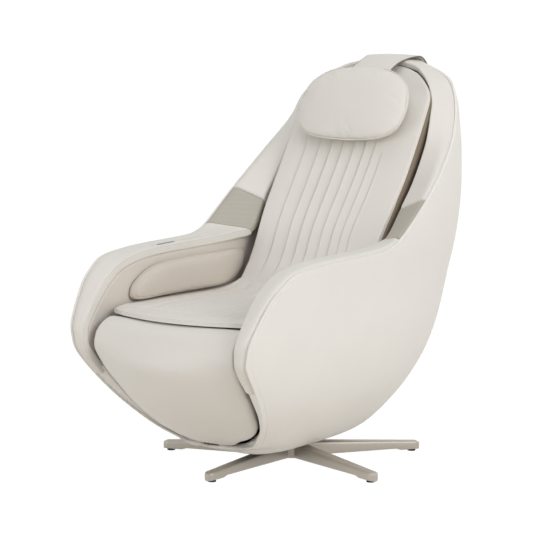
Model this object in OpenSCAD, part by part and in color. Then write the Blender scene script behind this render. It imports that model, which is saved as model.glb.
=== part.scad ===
/* [Shell] */
// Overall width of the egg-shaped shell
shell_w = 614; // [600:2:640]
// Height of the shell's top above the floor
shell_h = 986; // [970:2:1030]
// Swivel axis to the rearmost point of the shell
shell_back = 502; // [492:2:530]
// Swivel axis to the front edge of the arms
shell_front = 521; // [510:1:540]
// Floor to the underside of the shell
shell_gap = 50; // [50:0.5:56]
// Wall of the moulded shell
shell_wall = 6; // [4:0.5:8]

/* [Seat] */
// Clear width between the two arms
seat_w = 444; // [436:2:460]
// Height of the seat mat's top
seat_h = 415; // [408:1:425]
// Height of the armrests
arm_h = 540; // [530:1:560]
// Thickness of the arm and wing padding
rim_pad = 22; // [16:1:26]
// Height of the padding's crown over its chord
rim_crown = 8; // [4:1:12]
// Thickness of the inner side panels
panel_t = 8; // [5:1:12]
// How far the side cushions stand out from the arms
cushion_t = 34; // [20:1:40]
// Thickness of the seat board
board_t = 12; // [9:1:18]

/* [Backrest] */
// Thickness of the back pad
pad_t = 45; // [35:1:50]
// Number of sewn channels down the back and the seat
channels = 10; // [6:1:12]
// Depth of a sewn channel
channel_d = 5; // [2:0.5:7]
// Thickness of the head pillow
pillow_t = 60; // [40:1:66]
// Thickness of the pillow's strap
strap_t = 4; // [2:0.5:6]

/* [Leg rest] */
// Thickness of the leg rest pad
leg_pad_t = 42; // [30:1:48]
// Thickness of the leg rest's hinge plates
leg_plate_t = 4; // [3:0.5:5]

/* [Swivel base] */
// Number of legs of the star
legs = 5; // [4:1:6]
// Swivel axis to the end of a leg
leg_reach = 340; // [300:5:370]
// Width of a leg at its end
leg_tip_w = 26; // [20:1:32]
// Width of a leg at the hub
leg_hub_w = 36; // [30:1:42]
// Height of a leg's end above the floor
leg_tip_h = 25; // [22:1:30]
// Radius of the hub
hub_r = 40; // [38:1:46]
// Radius of the swivel column
column_r = 14; // [12:0.5:16]
// Height of a foot glide
glide_h = 4; // [3:0.5:6]
// Radius of a foot glide
glide_r = 10; // [8:0.5:12]
// Radius of a bearing ball
ball_r = 3.5; // [3:0.25:4]
// Number of bearing balls
balls = 14; // [8:1:18]

/* [Frame] */
// Side of the square frame tubes
tube = 25; // [20:1:28]
// Wall of the frame tubes
tube_wall = 2; // [1.5:0.25:3]
// Radius of the leg rest's hinge pins
pin_r = 6; // [5:0.5:8]

/* [Massage unit] */
// Radius of the two guide rods
rod_r = 6; // [5:0.5:8]
// Distance between the guide rods
rod_gap = 220; // [200:5:240]
// Travel of the carriage along the back
travel = 200; // [150:5:220]
// Radius of the massage rollers
roller_r = 22; // [18:1:25]
// Width of the massage rollers
roller_w = 24; // [18:1:30]
// Distance between the left and right rollers
roller_gap = 110; // [90:2:130]
// Radius of the lead screw
screw_r = 8; // [7:0.5:10]

/* [Controls] */
// Length of the control strip on the arm
strip_l = 210; // [180:5:240]
// Width of the control strip
strip_w = 16; // [12:1:20]
// Length of the display window
window_l = 62; // [40:1:80]
// Radius of the start button
button_r = 3; // [2:0.25:4]

/* [Fits] */
// Gap between upholstered pieces
soft_gap = 0.4; // [0.3:0.1:0.8]
// Radial clearance of running fits
run = 0.05; // [0.02:0.01:0.08]

/* [Hidden] */
$fn = 48;

cream = [0.88, 0.86, 0.82];
shade = [0.80, 0.77, 0.72];
mesh_grey = [0.70, 0.68, 0.63];
champagne = [0.62, 0.58, 0.52];
steel = [0.72, 0.72, 0.72];
black = [0.12, 0.12, 0.13];

// ---- Curves and lofts ----

function lerp(a, b, t) = a + (b - a) * t;
function clamp(x, lo, hi) = min(max(x, lo), hi);
function unit(v) = v / max(norm(v), 0.000001);

// A smooth curve through rows [x, value, value, ...]: value k at x.
function row(t, x, i = 0) = i >= len(t) - 2 || x < t[i + 1][0] ? i : row(t, x, i + 1);
function slope(t, i, k) =
  let (a = max(i - 1, 0), b = min(i + 1, len(t) - 1))
  (t[b][k] - t[a][k]) / (t[b][0] - t[a][0]);
function along(t, x, k = 1) =
  let (i = row(t, x), h = t[i + 1][0] - t[i][0], u = clamp((x - t[i][0]) / h, 0, 1))
  (1 + 2 * u) * (1 - u) * (1 - u) * t[i][k] + u * (1 - u) * (1 - u) * h * slope(t, i, k)
  + u * u * (3 - 2 * u) * t[i + 1][k] + u * u * (u - 1) * h * slope(t, i + 1, k);
// Straight pieces between rows [x, value], carried on past both ends.
function bent(t, x) =
  let (i = row(t, x))
  t[i][1] + (x - t[i][0]) * (t[i + 1][1] - t[i][1]) / (t[i + 1][0] - t[i][0]);

// The form below is drawn at one set of sizes; place() carries it to the chosen ones.
arm_x = 222;
form_w = 307;
form_front = 521;
form_back = 502;
form_gap = 50;
form_seat = 415;
form_arm = 540;
form_top = 986;
function fit_x(x) = sign(x) * bent([[0, 0], [arm_x, seat_w / 2], [form_w, shell_w / 2]], abs(x));
function fit_y(y) = bent([[-form_front, -shell_front], [0, 0], [form_back, shell_back]], y);
function fit_z(z) =
  bent([[0, 0], [form_gap, shell_gap], [form_seat, seat_h], [form_arm, arm_h], [form_top, shell_h]], z);
function place(p) = [fit_x(p[0]), fit_y(p[1]), fit_z(p[2])];

// A closed solid through rings of points, each ring one loop of an even number of points.
// The end rings are closed by strips between their two halves.
function ring_faces(n, m) = concat(
  [for (i = [0:n - 2], j = [0:m - 1])
    let (a = i * m + j, b = i * m + (j + 1) % m) each [[a, b, b + m], [a, b + m, a + m]]],
  [for (k = [0, n - 1], j = [0:m / 2 - 2])
    let (a = k * m + j, b = a + 1, c = k * m + m - 2 - j, d = c + 1)
    each (k == 0 ? [[a, c, b], [a, d, c]] : [[a, b, c], [a, c, d]])]
);
function apart(p, q) = norm(p - q) > 0.01;
function real_face(p, f) = apart(p[f[0]], p[f[1]]) && apart(p[f[1]], p[f[2]]) && apart(p[f[2]], p[f[0]]);
function sum(v, i = 0, s = 0) = i >= len(v) ? s : sum(v, i + 1, s + v[i]);
function volume6(p, faces) = sum([for (f = faces) p[f[0]] * cross(p[f[1]], p[f[2]])]);
module skin(rings) {
  points = [for (r = rings) for (p = r) place(p)];
  faces = [for (f = ring_faces(len(rings), len(rings[0]))) if (real_face(points, f)) f];
  inside_out = volume6(points, faces) > 0;
  polyhedron(points, [for (f = faces) inside_out ? [f[0], f[2], f[1]] : f]);
}
// The swivel axis stands behind the middle of the chair's outer box.
leg_crown = 538;
axis_y = (fit_y(form_back + 8) - abs(fit_y(-leg_crown))) / -2;
module at_axis() { translate([0, axis_y, 0]) children(); }
module both(side) {
  if (side < 0) mirror([1, 0, 0]) children();
  else children();
}

// ---- The egg ----

// Rows: height, half width, depth in front of the widest line, depth behind it.
widest_y = -60;
egg_rows = [
  [50, 75, 150, 170], [70, 122, 222, 234], [90, 153, 286, 268], [140, 199, 430, 320],
  [200, 240, 560, 368], [270, 266, 680, 425], [350, 280, 785, 470], [450, 288, 870, 510],
  [550, 300, 885, 541], [650, 304, 880, 560], [750, 300, 880, 568], [790, 297, 880, 567],
  [827, 294, 880, 564], [862, 292, 880, 560], [887, 289, 880, 555], [907, 284, 880, 550],
  [930, 275, 880, 544], [946, 257, 880, 539], [958, 232, 880, 533], [969, 199, 880, 526],
  [979, 150, 880, 518], [986, 0, 880, 508]
];
front_power = 3;
back_power = 3.2;
// The inner wall rises off the floor of the egg and drops from its crown.
function inner_lift(z, t) = t * max(0, 1 - (z - 50) / 150) - t * max(0, (z - 880) / 106);
// A point on the egg: r runs from -1 at the front through the widest line to 1 at the back.
function egg(r, z, t = 0) =
  let (
    d = (r < 0 ? along(egg_rows, z, 2) : along(egg_rows, z, 3)) - t,
    n = r < 0 ? front_power : back_power,
    a = along(egg_rows, z, 1) - t
  )
  [max(a, 0) * pow(max(0, 1 - pow(abs(r), n)), 1 / n), widest_y + d * r, z + inner_lift(z, t)];
function egg_r(y, z) = clamp((y - widest_y) / (y < widest_y ? along(egg_rows, z, 2) : along(egg_rows, z, 3)), -1, 1);

// The open rim in side view, from the bottom centre round the arm to the crown: y, z, and the
// height at which the same rib meets the centre line of the back.
rim_points = [
  [-338, 86, 86], [-311, 92, 92], [-338, 118, 118], [-395, 180, 160], [-465, 257, 210],
  [-512, 314, 260], [-521, 345, 300], [-515, 388, 340], [-466, 463, 400], [-425, 498, 430],
  [-375, 524, 460], [-270, 536, 500], [-75, 542, 540], [-2, 551, 570], [45, 573, 600],
  [134, 638, 660], [212, 698, 720], [294, 769, 790], [334, 809, 835], [357, 840, 865],
  [374, 877, 898], [395, 907, 922], [417, 930, 940], [434, 946, 953], [443, 966, 970],
  [448, 986, 986]
];
rim_rows = [for (i = [0:len(rim_points) - 1]) concat([i], rim_points[i])];
rim_end = len(rim_points) - 1;
trim_start = 4;
mesh_start = 13.8;
mesh_end = 15.2;

function rim_r(s) = s <= 0 ? -1 : s >= rim_end ? 1 : egg_r(along(rim_rows, s, 1), along(rim_rows, s, 2));
function rim_in(s, t) = egg(rim_r(s), along(rim_rows, s, 2), t);

rib_steps = 9;
function rib(s, t) =
  let (a = acos(-rim_r(s)), z = along(rim_rows, s, 2), zb = along(rim_rows, s, 3))
  [for (j = [0:rib_steps]) let (u = j / rib_steps) egg(-cos(lerp(a, 180, u)), lerp(z, zb, u), t)];
function low_rib(z, t) = [for (j = [0:rib_steps]) egg(-cos(180 * j / rib_steps), z, t)];
function reversed(v) = [for (i = [len(v) - 1:-1:0]) v[i]];
rib_count = 34;
function shell_rings() = concat(
  [for (z = [form_gap, 62, 75]) concat(low_rib(z, 0), reversed(low_rib(z, shell_wall)))],
  [for (i = [0:rib_count]) let (s = rim_end * i / rib_count) concat(rib(s, 0), reversed(rib(s, shell_wall)))]
);

module shell_half() { skin(shell_rings()); }

// ---- Arm and wing padding round the rim ----

// Rows: place along the rim, then the inner edge of the padding.
inner_rows = [
  [4, 212, -460, 262], [5, 218, -504, 312], [6, 221, -516, 343], [7, 222, -508, 384],
  [8, 222, -454, 454], [9, 222, -414, 488], [10, 222, -366, 512], [11, 222, -264, 529],
  [12, 222, -75, 535], [13, 219, 24, 541], [14, 211, 102, 569], [15, 209, 156, 631],
  [16, 208, 209, 694], [17, 208, 261, 772], [18, 207, 289, 815], [19, 206, 307, 850],
  [20, 202, 323, 880], [21, 190, 341, 903], [22, 169, 359, 926], [23, 141, 382, 946],
  [24, 107, 403, 963], [25, 0, 421, 978]
];
// The way into the padding, square to the rim in side view and straight down at the crown.
function rim_turn(s) =
  let (e = 0.5, dy = along(rim_rows, s + e, 1) - along(rim_rows, s - e, 1),
       dz = along(rim_rows, s + e, 2) - along(rim_rows, s - e, 2))
  s > 19 ? unit(lerp([0, 0.86, -0.5], [0, 0.1, -1], (s - 19) / (rim_end - 19))) : unit([0, dz, -dy]);
band_steps = 5;
function band_edge(s) = rim_in(s, shell_wall + soft_gap + 0.5 * clamp(5 - s, 0, 1));
function band_inner(s) = [along(inner_rows, s, 1), along(inner_rows, s, 2), along(inner_rows, s, 3)];
function band_top(s, u, crown = rim_crown) =
  lerp(band_edge(s), band_inner(s), u) - rim_turn(s) * crown * 4 * u * (1 - u);
// Towards the crown the padding thins at the shell, which curves in behind it.
function band_thin(s) = clamp((s - 15) / 5, 0, 1);
function band_ring(s, depth, crown) =
  let (o = band_edge(s), i = band_inner(s), d = rim_turn(s), k = band_thin(s))
  concat(
    [for (j = [0:band_steps]) band_top(s, j / band_steps, crown)],
    [for (j = [band_steps:-1:0]) let (u = j / band_steps)
      lerp(o, i, lerp(lerp(0.06, 0.2, k), 1, u)) + d * lerp(lerp(depth, 4, k), lerp(depth / 2, 6, k), u)]
  );
module band(from, to, steps, depth, crown) {
  skin([for (k = [0:steps]) band_ring(lerp(from, to, k / steps), depth, crown)]);
}
band_cut = 0.012;
module arm_pad(side) at_axis() { color(cream) both(side) band(trim_start, mesh_start - band_cut, 20, rim_pad, rim_crown); }
module grille(side) at_axis() { color(mesh_grey) both(side) band(mesh_start, mesh_end, 5, rim_pad * 0.6, rim_crown * 0.8); }
module wing_pad(side) at_axis() { color(cream) both(side) band(mesh_end + band_cut, rim_end, 18, rim_pad, rim_crown); }

// ---- Inner side panels ----

panel_low = [[330, 796], [352, 775], [378, 700], [364, 560], [312, 430], [200, 312], [-100, 240], [-380, 246], [-434, 264]];
panel_from = 4.2;
panel_to = 17.8;
// The underside of the padding in the plane of the panel.
function panel_edge(s) =
  let (o = band_edge(s), i = band_inner(s), f = clamp((arm_x + 4 - i[0]) / (o[0] - i[0]), 0, 1),
       q = lerp(i, o, f) + rim_turn(s) * (rim_pad * lerp(0.5, 1, f) + 3.4))
  [q[1], q[2]];
module side_panel(side) at_axis() {
  outline = concat([for (k = [0:30]) panel_edge(lerp(panel_from, panel_to, k / 30))], panel_low);
  color(shade) both(side)
    translate([seat_w / 2, 0, 0]) rotate([90, 0, 90]) linear_extrude(panel_t)
      polygon([for (p = outline) [fit_y(p[0]), fit_z(p[1])]]);
}

// ---- Padded forms ----

cushion_outline = [
  [-352, 420], [-362, 436], [-346, 463], [-300, 490], [-247, 503], [-154, 508], [-31, 509],
  [60, 508], [92, 500], [106, 482], [98, 455], [64, 432], [18, 421], [-56, 419], [-140, 419],
  [-214, 419], [-280, 419], [-325, 418]
];
cushion_mid = [-125, 462];
// The cushion thins where the back pad passes it.
function cushion_thin(y) = clamp(1 - (y + 40) / 190, 0.3, 1);
function cushion_ring(h, c) =
  [for (p = cushion_outline) let (y = lerp(cushion_mid[0], p[0], c))
    [arm_x - soft_gap - h * cushion_t * cushion_thin(y), y, lerp(cushion_mid[1], p[1], c)]];
module side_cushion(side) at_axis() {
  rows = [[0, 0.94], [0.25, 0.99], [0.55, 1], [0.8, 0.95], [0.95, 0.82], [1, 0.5]];
  color(shade) both(side) skin([for (q = rows) cushion_ring(q[0], q[1])]);
}

// Sewn channels run along the back and the seat between these half widths.
channel_half = 150;
function groove(x) =
  abs(x) >= channel_half ? 0 : -channel_d * pow(abs(cos(90 * channels * (x + channel_half) / channel_half)), 3);
// Stations across a padded form of half width w, two to a channel and two at each margin.
function stations(w) =
  let (c = min(channel_half, w * 0.8))
  concat([-w, lerp(-w, -c, 0.3)], [for (k = [0:2 * channels]) lerp(-c, c, k / (2 * channels))], [lerp(w, c, 0.3), w]);

// Rows: place along the back pad, y, z and half width of its front face, thickness factor.
back_rows = [
  [0, 30, 436, 196, 1], [1, 55, 462, 198, 1], [2, 81, 496, 199, 1], [3, 112, 560, 199, 1],
  [4, 143, 608, 200, 1], [5, 178, 656, 200, 1], [6, 217, 712, 200, 1], [7, 251, 757, 200, 1],
  [8, 283, 808, 200, 1], [9, 302, 849, 201, 0.9], [10, 318, 878, 196, 0.8], [11, 334, 901, 184, 0.72],
  [12, 352, 923, 161, 0.62], [13, 373, 942, 130, 0.5], [14, 391, 957, 92, 0.38], [15, 403, 967, 30, 0.28]
];
back_end = 15;
function back_at(s) = [along(back_rows, s, 1), along(back_rows, s, 2)];
function back_normal(s) =
  let (t = unit(back_at(min(s + 0.3, back_end)) - back_at(max(s - 0.3, 0)))) [-t[1], t[0]];
function back_rear(s, more = 0) = back_at(s) - back_normal(s) * (pad_t * along(back_rows, s, 4) + more);
function back_ring(s) =
  let (w = along(back_rows, s, 3), c = back_at(s), n = back_normal(s), r = back_rear(s), m = stations(w))
  concat(
    [for (x = m) let (h = (s < 10.6 ? groove(x) : 0) - (abs(x) > w * 0.99 ? 10 : 0)) [x, c[0] + n[0] * h, c[1] + n[1] * h]],
    [for (k = [len(m) - 1:-1:0]) [m[k] * 0.97, r[0], r[1]]]
  );
back_stations = [0, 0.7, 1.5, 2.4, 3.3, 4.2, 5.1, 6, 7, 8, 9, 9.8, 10.5, 10.8, 11.6, 12.4, 13.2, 14, 14.6, 15];
module back_pad() at_axis() { color(cream) skin([for (s = back_stations) back_ring(s)]); }
// The pad's rear face in side view as it is made, straight from station to station.
function rear_line(s, more = 0) =
  let (k = max([for (i = [0:len(back_stations) - 2]) if (back_stations[i] <= s) i]), a = back_stations[k], b = back_stations[k + 1])
  lerp(side(back_rear(a, more)), side(back_rear(b, more)), (s - a) / (b - a));
function rear_run(from, to, more) =
  [for (s = concat([from], [for (q = back_stations) if (q > from && q < to) q], [to])) rear_line(s, more)];

// Rows: place along the seat mat, y and z of its top, half width, y and z of its underside.
seat_rows = [
  [0, -430, 407, 206, -430, 400], [1, -412, 411, 209, -410, 400], [2, -385, 414, 211, -385, 376],
  [3, -340, 416, 211, -345, 366], [4, -260, 417, 211, -260, 366], [5, -160, 416, 211, -160, 366],
  [6, -70, 415, 210, -65, 366], [7, -15, 418, 207, 0, 369], [8, 9, 425, 202, 34, 384], [9, 29.5, 435.5, 196, 61.5, 404.5]
];
lip_bow = 52;
function seat_ring(s) =
  let (c = [for (k = [1:5]) along(seat_rows, s, k)], m = stations(c[2]), bow = lip_bow * pow(max(0, 1 - s / 2.6), 1.5))
  concat(
    [for (x = m) [x, c[0] - bow * (1 - pow(x / c[2], 2)),
      c[1] + 0.7 * groove(x) * clamp(s * 2, 0, 1) * clamp((9 - s) * 2, 0, 1) - (abs(x) > c[2] * 0.99 ? 4 : 0)]],
    [for (k = [len(m) - 1:-1:0]) [m[k] * 0.985, c[3] - bow * (1 - pow(m[k] / c[2], 2)), c[4]]]
  );
module seat_mat() at_axis() {
  color(cream) skin([for (s = [0, 0.5, 1, 1.6, 2.3, 3, 4, 5, 6, 6.7, 7.3, 7.9, 8.5, 9 - band_cut * 2]) seat_ring(s)]);
}

// ---- Leg rest ----

leg_pivot = [fit_y(-455), fit_z(328)];
// Rows: place down the panel, z, half width, y at the edge, y at the centre, thickness factor.
leg_rows = [
  [0, 396, 208, -440, -446, 0.32], [1, 395, 211, -462, -478, 0.5], [2, 385, 212, -484, -500, 0.58],
  [3, 364, 212, -501, -518, 0.56], [4, 332, 212, -507, -531, 0.54], [5, 298, 209, -490, -537, 0.62],
  [6, 260, 201, -463, -520, 0.85], [7, 215, 191, -424, -488, 1], [8, 180, 180, -392, -456, 1],
  [9, 148, 165, -360, -420, 0.9], [10, 122, 138, -338, -386, 0.7], [11, 106, 96, -330, -360, 0.45],
  [12, 100, 40, -336, -346, 0.24]
];
function leg_at(s, u) =
  let (e = along(leg_rows, s, 3), c = along(leg_rows, s, 4))
  [along(leg_rows, s, 2) * u, lerp(c, e, u * u), along(leg_rows, s, 1)];
function leg_normal(s) =
  let (t = leg_at(min(s + 0.4, 12), 1) - leg_at(max(s - 0.4, 0), 1)) unit([0, t[2], -t[1]]);
function leg_rear(s, more = 0) = leg_at(s, 1) - leg_normal(s) * (leg_pad_t * along(leg_rows, s, 5) + more);
function leg_ring(s, cols = 14) =
  let (n = leg_normal(s), r = leg_rear(s), w = along(leg_rows, s, 2))
  concat(
    [for (k = [0:cols]) let (u = lerp(-1, 1, k / cols)) leg_at(s, u) - n * (abs(u) > 0.99 ? 7 : 0)],
    [for (k = [cols:-1:0]) [lerp(-1, 1, k / cols) * w * 0.96, r[1], r[2]]]
  );
module legrest_pad() at_axis() {
  color(cream) skin([for (s = [0:0.6:12]) leg_ring(s)]);
}

// ---- Head pillow and its strap ----

pillow_low = [232, 790];
pillow_high = [318, 958];
pillow_outline = [
  [0, -104], [54, -101], [100, -93], [132, -80], [154, -56], [164, -22], [161, 14], [148, 44], [124, 66],
  [92, 84], [52, 94], [0, 98], [-52, 94], [-92, 84], [-124, 66], [-148, 44], [-161, 14], [-164, -22],
  [-154, -56], [-132, -80], [-100, -93], [-54, -101]
];
pillow_lean = unit(pillow_high - pillow_low);
pillow_mid = (pillow_low + pillow_high) / 2;
function pillow_ring(h, c) =
  [for (p = pillow_outline)
    let (q = pillow_mid + pillow_lean * p[1] * c + [-pillow_lean[1], pillow_lean[0]] * h) [p[0] * c, q[0], q[1]]];
module head_pillow() at_axis() {
  rows = [[-0.58, 0.62], [-0.5, 0.82], [-0.36, 0.94], [-0.14, 0.99], [0.04, 1], [0.2, 0.95], [0.32, 0.84], [0.39, 0.64], [0.42, 0.34]];
  color(cream) skin([for (q = rows) pillow_ring(q[0] * pillow_t, q[1])]);
}

// The strap runs from behind the pillow over the crown of the shell and down its back.
// Rows: place along it, y, z, half width, fall towards its edges.
strap_rows = [
  [0, 336, 946, 60, 12], [1, 356, 962, 60, 12], [2, 380, 977, 61, 12], [3, 410, 988, 66, 13], [4, 436, 992, 76, 14],
  [5, 453, 990.5, 86, 13], [6, 464.5, 982, 92, 10.5], [7, 473.5, 970, 95, 7.5], [8, 481.5, 954, 96, 5.5], [9, 488, 938, 96, 4.5]
];
function strap_ring(s) =
  let (c = [along(strap_rows, s, 1), along(strap_rows, s, 2)], w = along(strap_rows, s, 3), drop = along(strap_rows, s, 4),
       t = unit([along(strap_rows, s + 0.3, 1), along(strap_rows, s + 0.3, 2)] - [along(strap_rows, s - 0.3, 1), along(strap_rows, s - 0.3, 2)]),
       n = [-t[1], t[0]])
  concat(
    [for (k = [-5:5]) let (x = w * k / 5, q = c - n * drop * pow(x / 90, 2)) [x, q[0], q[1]]],
    [for (k = [5:-1:-5]) let (x = w * k / 5, q = c - n * (drop * pow(x / 90, 2) + strap_t)) [x, q[0], q[1]]]
  );
module pillow_strap() at_axis() {
  color(cream) skin([for (s = [0:0.6:9]) strap_ring(s)]);
}

// ---- Swivel base ----

hub_low = 6;
hub_top = 46;
leg_root = hub_r / 2;
module leg_plan() {
  polygon([[leg_root, -leg_hub_w / 2], [leg_reach - leg_tip_w / 4, -leg_tip_w / 2], [leg_reach - leg_tip_w / 4, leg_tip_w / 2], [leg_root, leg_hub_w / 2]]);
  translate([leg_reach - leg_tip_w / 4, 0]) intersection() {
    circle(r = leg_tip_w / 2);
    square([leg_tip_w / 2, leg_tip_w], center = true);
  }
}
module leg_side() {
  polygon([
    [0, hub_low + 0.5], [leg_reach - 60, glide_h + 4], [leg_reach - 52, glide_h], [leg_reach + 2, glide_h],
    [leg_reach - 1, leg_tip_h - 2], [leg_reach - 5, leg_tip_h], [0, hub_top - 0.5]
  ]);
}
module star_leg() {
  intersection() {
    linear_extrude(hub_top) leg_plan();
    translate([0, leg_hub_w, 0]) rotate([90, 0, 0]) linear_extrude(2 * leg_hub_w) leg_side();
  }
}
module star_base() at_axis() {
  color(champagne) difference() {
    union() {
      for (i = [0:legs - 1]) rotate([0, 0, 360 * i / legs - 90]) star_leg();
      translate([0, 0, hub_low]) cylinder(r = hub_r, h = hub_top - hub_low);
    }
    cylinder(r = column_r, h = hub_top + 1);
  }
}
module foot_glides() at_axis() {
  color(black) for (i = [0:legs - 1])
    rotate([0, 0, 360 * i / legs - 90]) translate([leg_reach - 20, 0, 0]) cylinder(r = glide_r, h = glide_h);
}

race_h = ball_r + 0.5;
race_gap = 0.1;
ball_track = column_r + 14;
ball_z = hub_top + race_h + 1;
upper_race_z = ball_z + 1;
plate_z = upper_race_z + race_h;
plate_t = 6;
sleeve_top = plate_z + 58;
ring_t = 2;
ring_slack = 0.1;
column_top = sleeve_top + ring_t + 6;
groove_d = 2;
module swivel_column() at_axis() {
  color(steel) difference() {
    translate([0, 0, hub_low]) cylinder(r = column_r, h = column_top - hub_low);
    translate([0, 0, sleeve_top + ring_slack]) difference() {
      cylinder(r = column_r + 1, h = ring_t);
      cylinder(r = column_r - groove_d, h = ring_t);
    }
  }
}
module race(z) {
  color(steel) difference() {
    translate([0, 0, z]) cylinder(r = ball_track + 9, h = race_h);
    translate([0, 0, z - 1]) cylinder(r = ball_track - 9, h = race_h + 2);
    translate([0, 0, ball_z]) rotate_extrude() translate([ball_track, 0]) circle(r = ball_r + race_gap);
  }
}
module bearing_race_lower() { at_axis() race(hub_top); }
module bearing_race_upper() { at_axis() race(upper_race_z); }
module bearing_balls() at_axis() {
  color(steel) for (i = [0:balls - 1])
    rotate([0, 0, 360 * i / balls]) translate([ball_track, 0, ball_z]) sphere(r = ball_r);
}
module retaining_ring() at_axis() {
  color(steel) translate([0, 0, sleeve_top + ring_slack]) difference() {
    cylinder(r = column_r + 5, h = ring_t);
    translate([0, 0, -1]) cylinder(r = column_r - groove_d, h = ring_t + 2);
    translate([0, -column_r, 0]) cube([8, 2 * column_r, 3 * ring_t], center = true);
  }
}

// ---- Seat frame ----

rail_x = 42;
rail_z = plate_z + plate_t;
post_z = rail_z + tube;
board_z = fit_z(366) - soft_gap - board_t;
top_z = board_z - tube;
front_y = fit_y(-345);
rear_y = fit_y(62);
post_front = -100;
post_rear = 80;
shelf_z = post_z + 50;
shelf_t = 3;
shelf_w = 125;
plate_round = 58;
plate_ends = [-60, 45];

module swivel_plate() at_axis() {
  color(steel) difference() {
    union() {
      translate([0, 0, plate_z]) linear_extrude(plate_t) {
        for (y = plate_ends) translate([0, y]) circle(r = plate_round);
        translate([-plate_round, plate_ends[0]]) square([2 * plate_round, plate_ends[1] - plate_ends[0]]);
      }
      translate([0, 0, plate_z]) cylinder(r = column_r + 8, h = sleeve_top - plate_z);
    }
    translate([0, 0, plate_z - 1]) cylinder(r = column_r + run, h = sleeve_top - plate_z + 2);
  }
}
// A square tube from one corner, along x, y or z.
module tube_x(x, y, z, l) {
  translate([x, y, z]) difference() {
    cube([l, tube, tube]);
    translate([-1, tube_wall, tube_wall]) cube([l + 2, tube - 2 * tube_wall, tube - 2 * tube_wall]);
  }
}
module tube_y(x, y, z, l) { translate([x + tube, y, z]) rotate([0, 0, 90]) tube_x(0, 0, 0, l); }
module tube_z(x, y, z, l) { translate([x + tube, y, z]) rotate([0, -90, 0]) tube_x(0, 0, 0, l); }

bracket_t = 5;
leg_plate_x = fit_x(203);
leg_bracket_x = fit_x(213);
back_plate_t = 4;
back_plate_x = fit_x(184);
pin_boss = 7;
// A plate from a beam's face to a hinge pin, in side view.
module bracket(x, from, to) {
  translate([x, 0, 0]) rotate([90, 0, 90]) linear_extrude(bracket_t) difference() {
    union() {
      translate(to) circle(r = pin_r + pin_boss);
      polygon([[from, top_z], to + [0, -pin_r - pin_boss + 1], to + [0, pin_r + pin_boss - 1], [from, top_z + tube]]);
    }
    translate(to) circle(r = pin_r);
  }
}
// The middle of the arm that carries the leg rest's motor.
mount_x = 150;
leg_motor_r = 17;
module seat_frame() at_axis() {
  beam = seat_w / 2 - soft_gap;
  color(steel) union() {
    for (s = [-1, 1]) {
      x = s > 0 ? rail_x - tube / 2 : -rail_x - tube / 2;
      tube_y(x, post_front, rail_z, post_rear - post_front + tube);
      for (y = [post_front, post_rear]) tube_z(x, y, post_z, top_z - post_z);
      tube_y(x, front_y + tube, top_z, rear_y - front_y - tube);
      tube_y(s > 0 ? mount_x : -mount_x - tube, front_y + tube, top_z, rear_y - front_y - tube);
      both(s) bracket(leg_bracket_x, front_y, leg_pivot);
    }
    tube_x(-beam, front_y, top_z, 2 * beam);
    tube_x(-beam, rear_y, top_z, 2 * beam);
    translate([-shelf_w, post_front + tube, shelf_z]) cube([2 * shelf_w, post_rear - post_front - tube, shelf_t]);
    translate([mount_x - tube / 2, leg_pivot[0], top_z]) cube([tube, front_y - leg_pivot[0], 10]);
  }
}
module seat_board() at_axis() {
  color([0.75, 0.62, 0.45]) translate([-seat_w / 2 + 14, fit_y(-368), board_z])
    cube([seat_w - 28, fit_y(8) - fit_y(-368), board_t]);
}
cover_t = 3;
module bottom_cover() at_axis() {
  edge = [for (a = [0:9:180]) egg(-cos(a), form_gap, shell_wall + 3.2)];
  outline = concat(edge, [for (p = reversed([for (i = [1:len(edge) - 2]) edge[i]])) [-p[0], p[1], p[2]]]);
  color(shade) translate([0, 0, plate_z - soft_gap - cover_t]) linear_extrude(cover_t) difference() {
    polygon([for (p = outline) [fit_x(p[0]), fit_y(p[1])]]);
    circle(r = ball_track + 12);
  }
}

// ---- Control box and air pump ----

module rounded(w, l, r) {
  for (x = [r, w - r], y = [r, l - r]) translate([x, y]) circle(r = r);
  translate([r, 0]) square([w - 2 * r, l]);
  translate([0, r]) square([w, l - 2 * r]);
}
module control_box() at_axis() {
  color(black) translate([-shelf_w + 8, post_front + tube + 8, shelf_z + shelf_t]) union() {
    linear_extrude(34) rounded(84, 130, 8);
    translate([0, 0, 34]) linear_extrude(3) translate([5, 5]) rounded(74, 120, 5);
  }
}
module air_pump() at_axis() {
  color(black) translate([30, post_front + tube + 14, shelf_z + shelf_t]) union() {
    linear_extrude(12) rounded(84, 118, 6);
    for (y = [31, 87]) translate([42, y, 12]) cylinder(r = 26, h = 42);
    for (y = [31, 87]) translate([42, y, 54]) cylinder(r = 5, h = 16);
  }
}

// ---- Leg rest frame, pins and motor ----

function flat(p) = [fit_y(p[1]), fit_z(p[2])];
module legrest_frame() at_axis() {
  color(steel) union() {
    for (s = [-1, 1]) both(s) translate([leg_plate_x, 0, 0]) rotate([90, 0, 90]) linear_extrude(leg_plate_t) difference() {
      union() {
        translate(leg_pivot) circle(r = pin_r + pin_boss);
        polygon(concat([for (k = [0:4]) flat(leg_rear(lerp(4.4, 6, k / 4), soft_gap))],
          [flat(leg_rear(6, 12)), leg_pivot + [pin_r + pin_boss, 0], leg_pivot + [0, 0]]));
      }
      translate(leg_pivot) circle(r = pin_r + run);
    }
    translate([-leg_plate_x, 0, 0]) rotate([90, 0, 90]) linear_extrude(2 * leg_plate_x)
      polygon(concat([for (k = [0:3]) flat(leg_rear(lerp(5.4, 6, k / 3), soft_gap))],
        [for (k = [3:-1:0]) flat(leg_rear(lerp(5.4, 6, k / 3), soft_gap + 3))]));
  }
}
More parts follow.
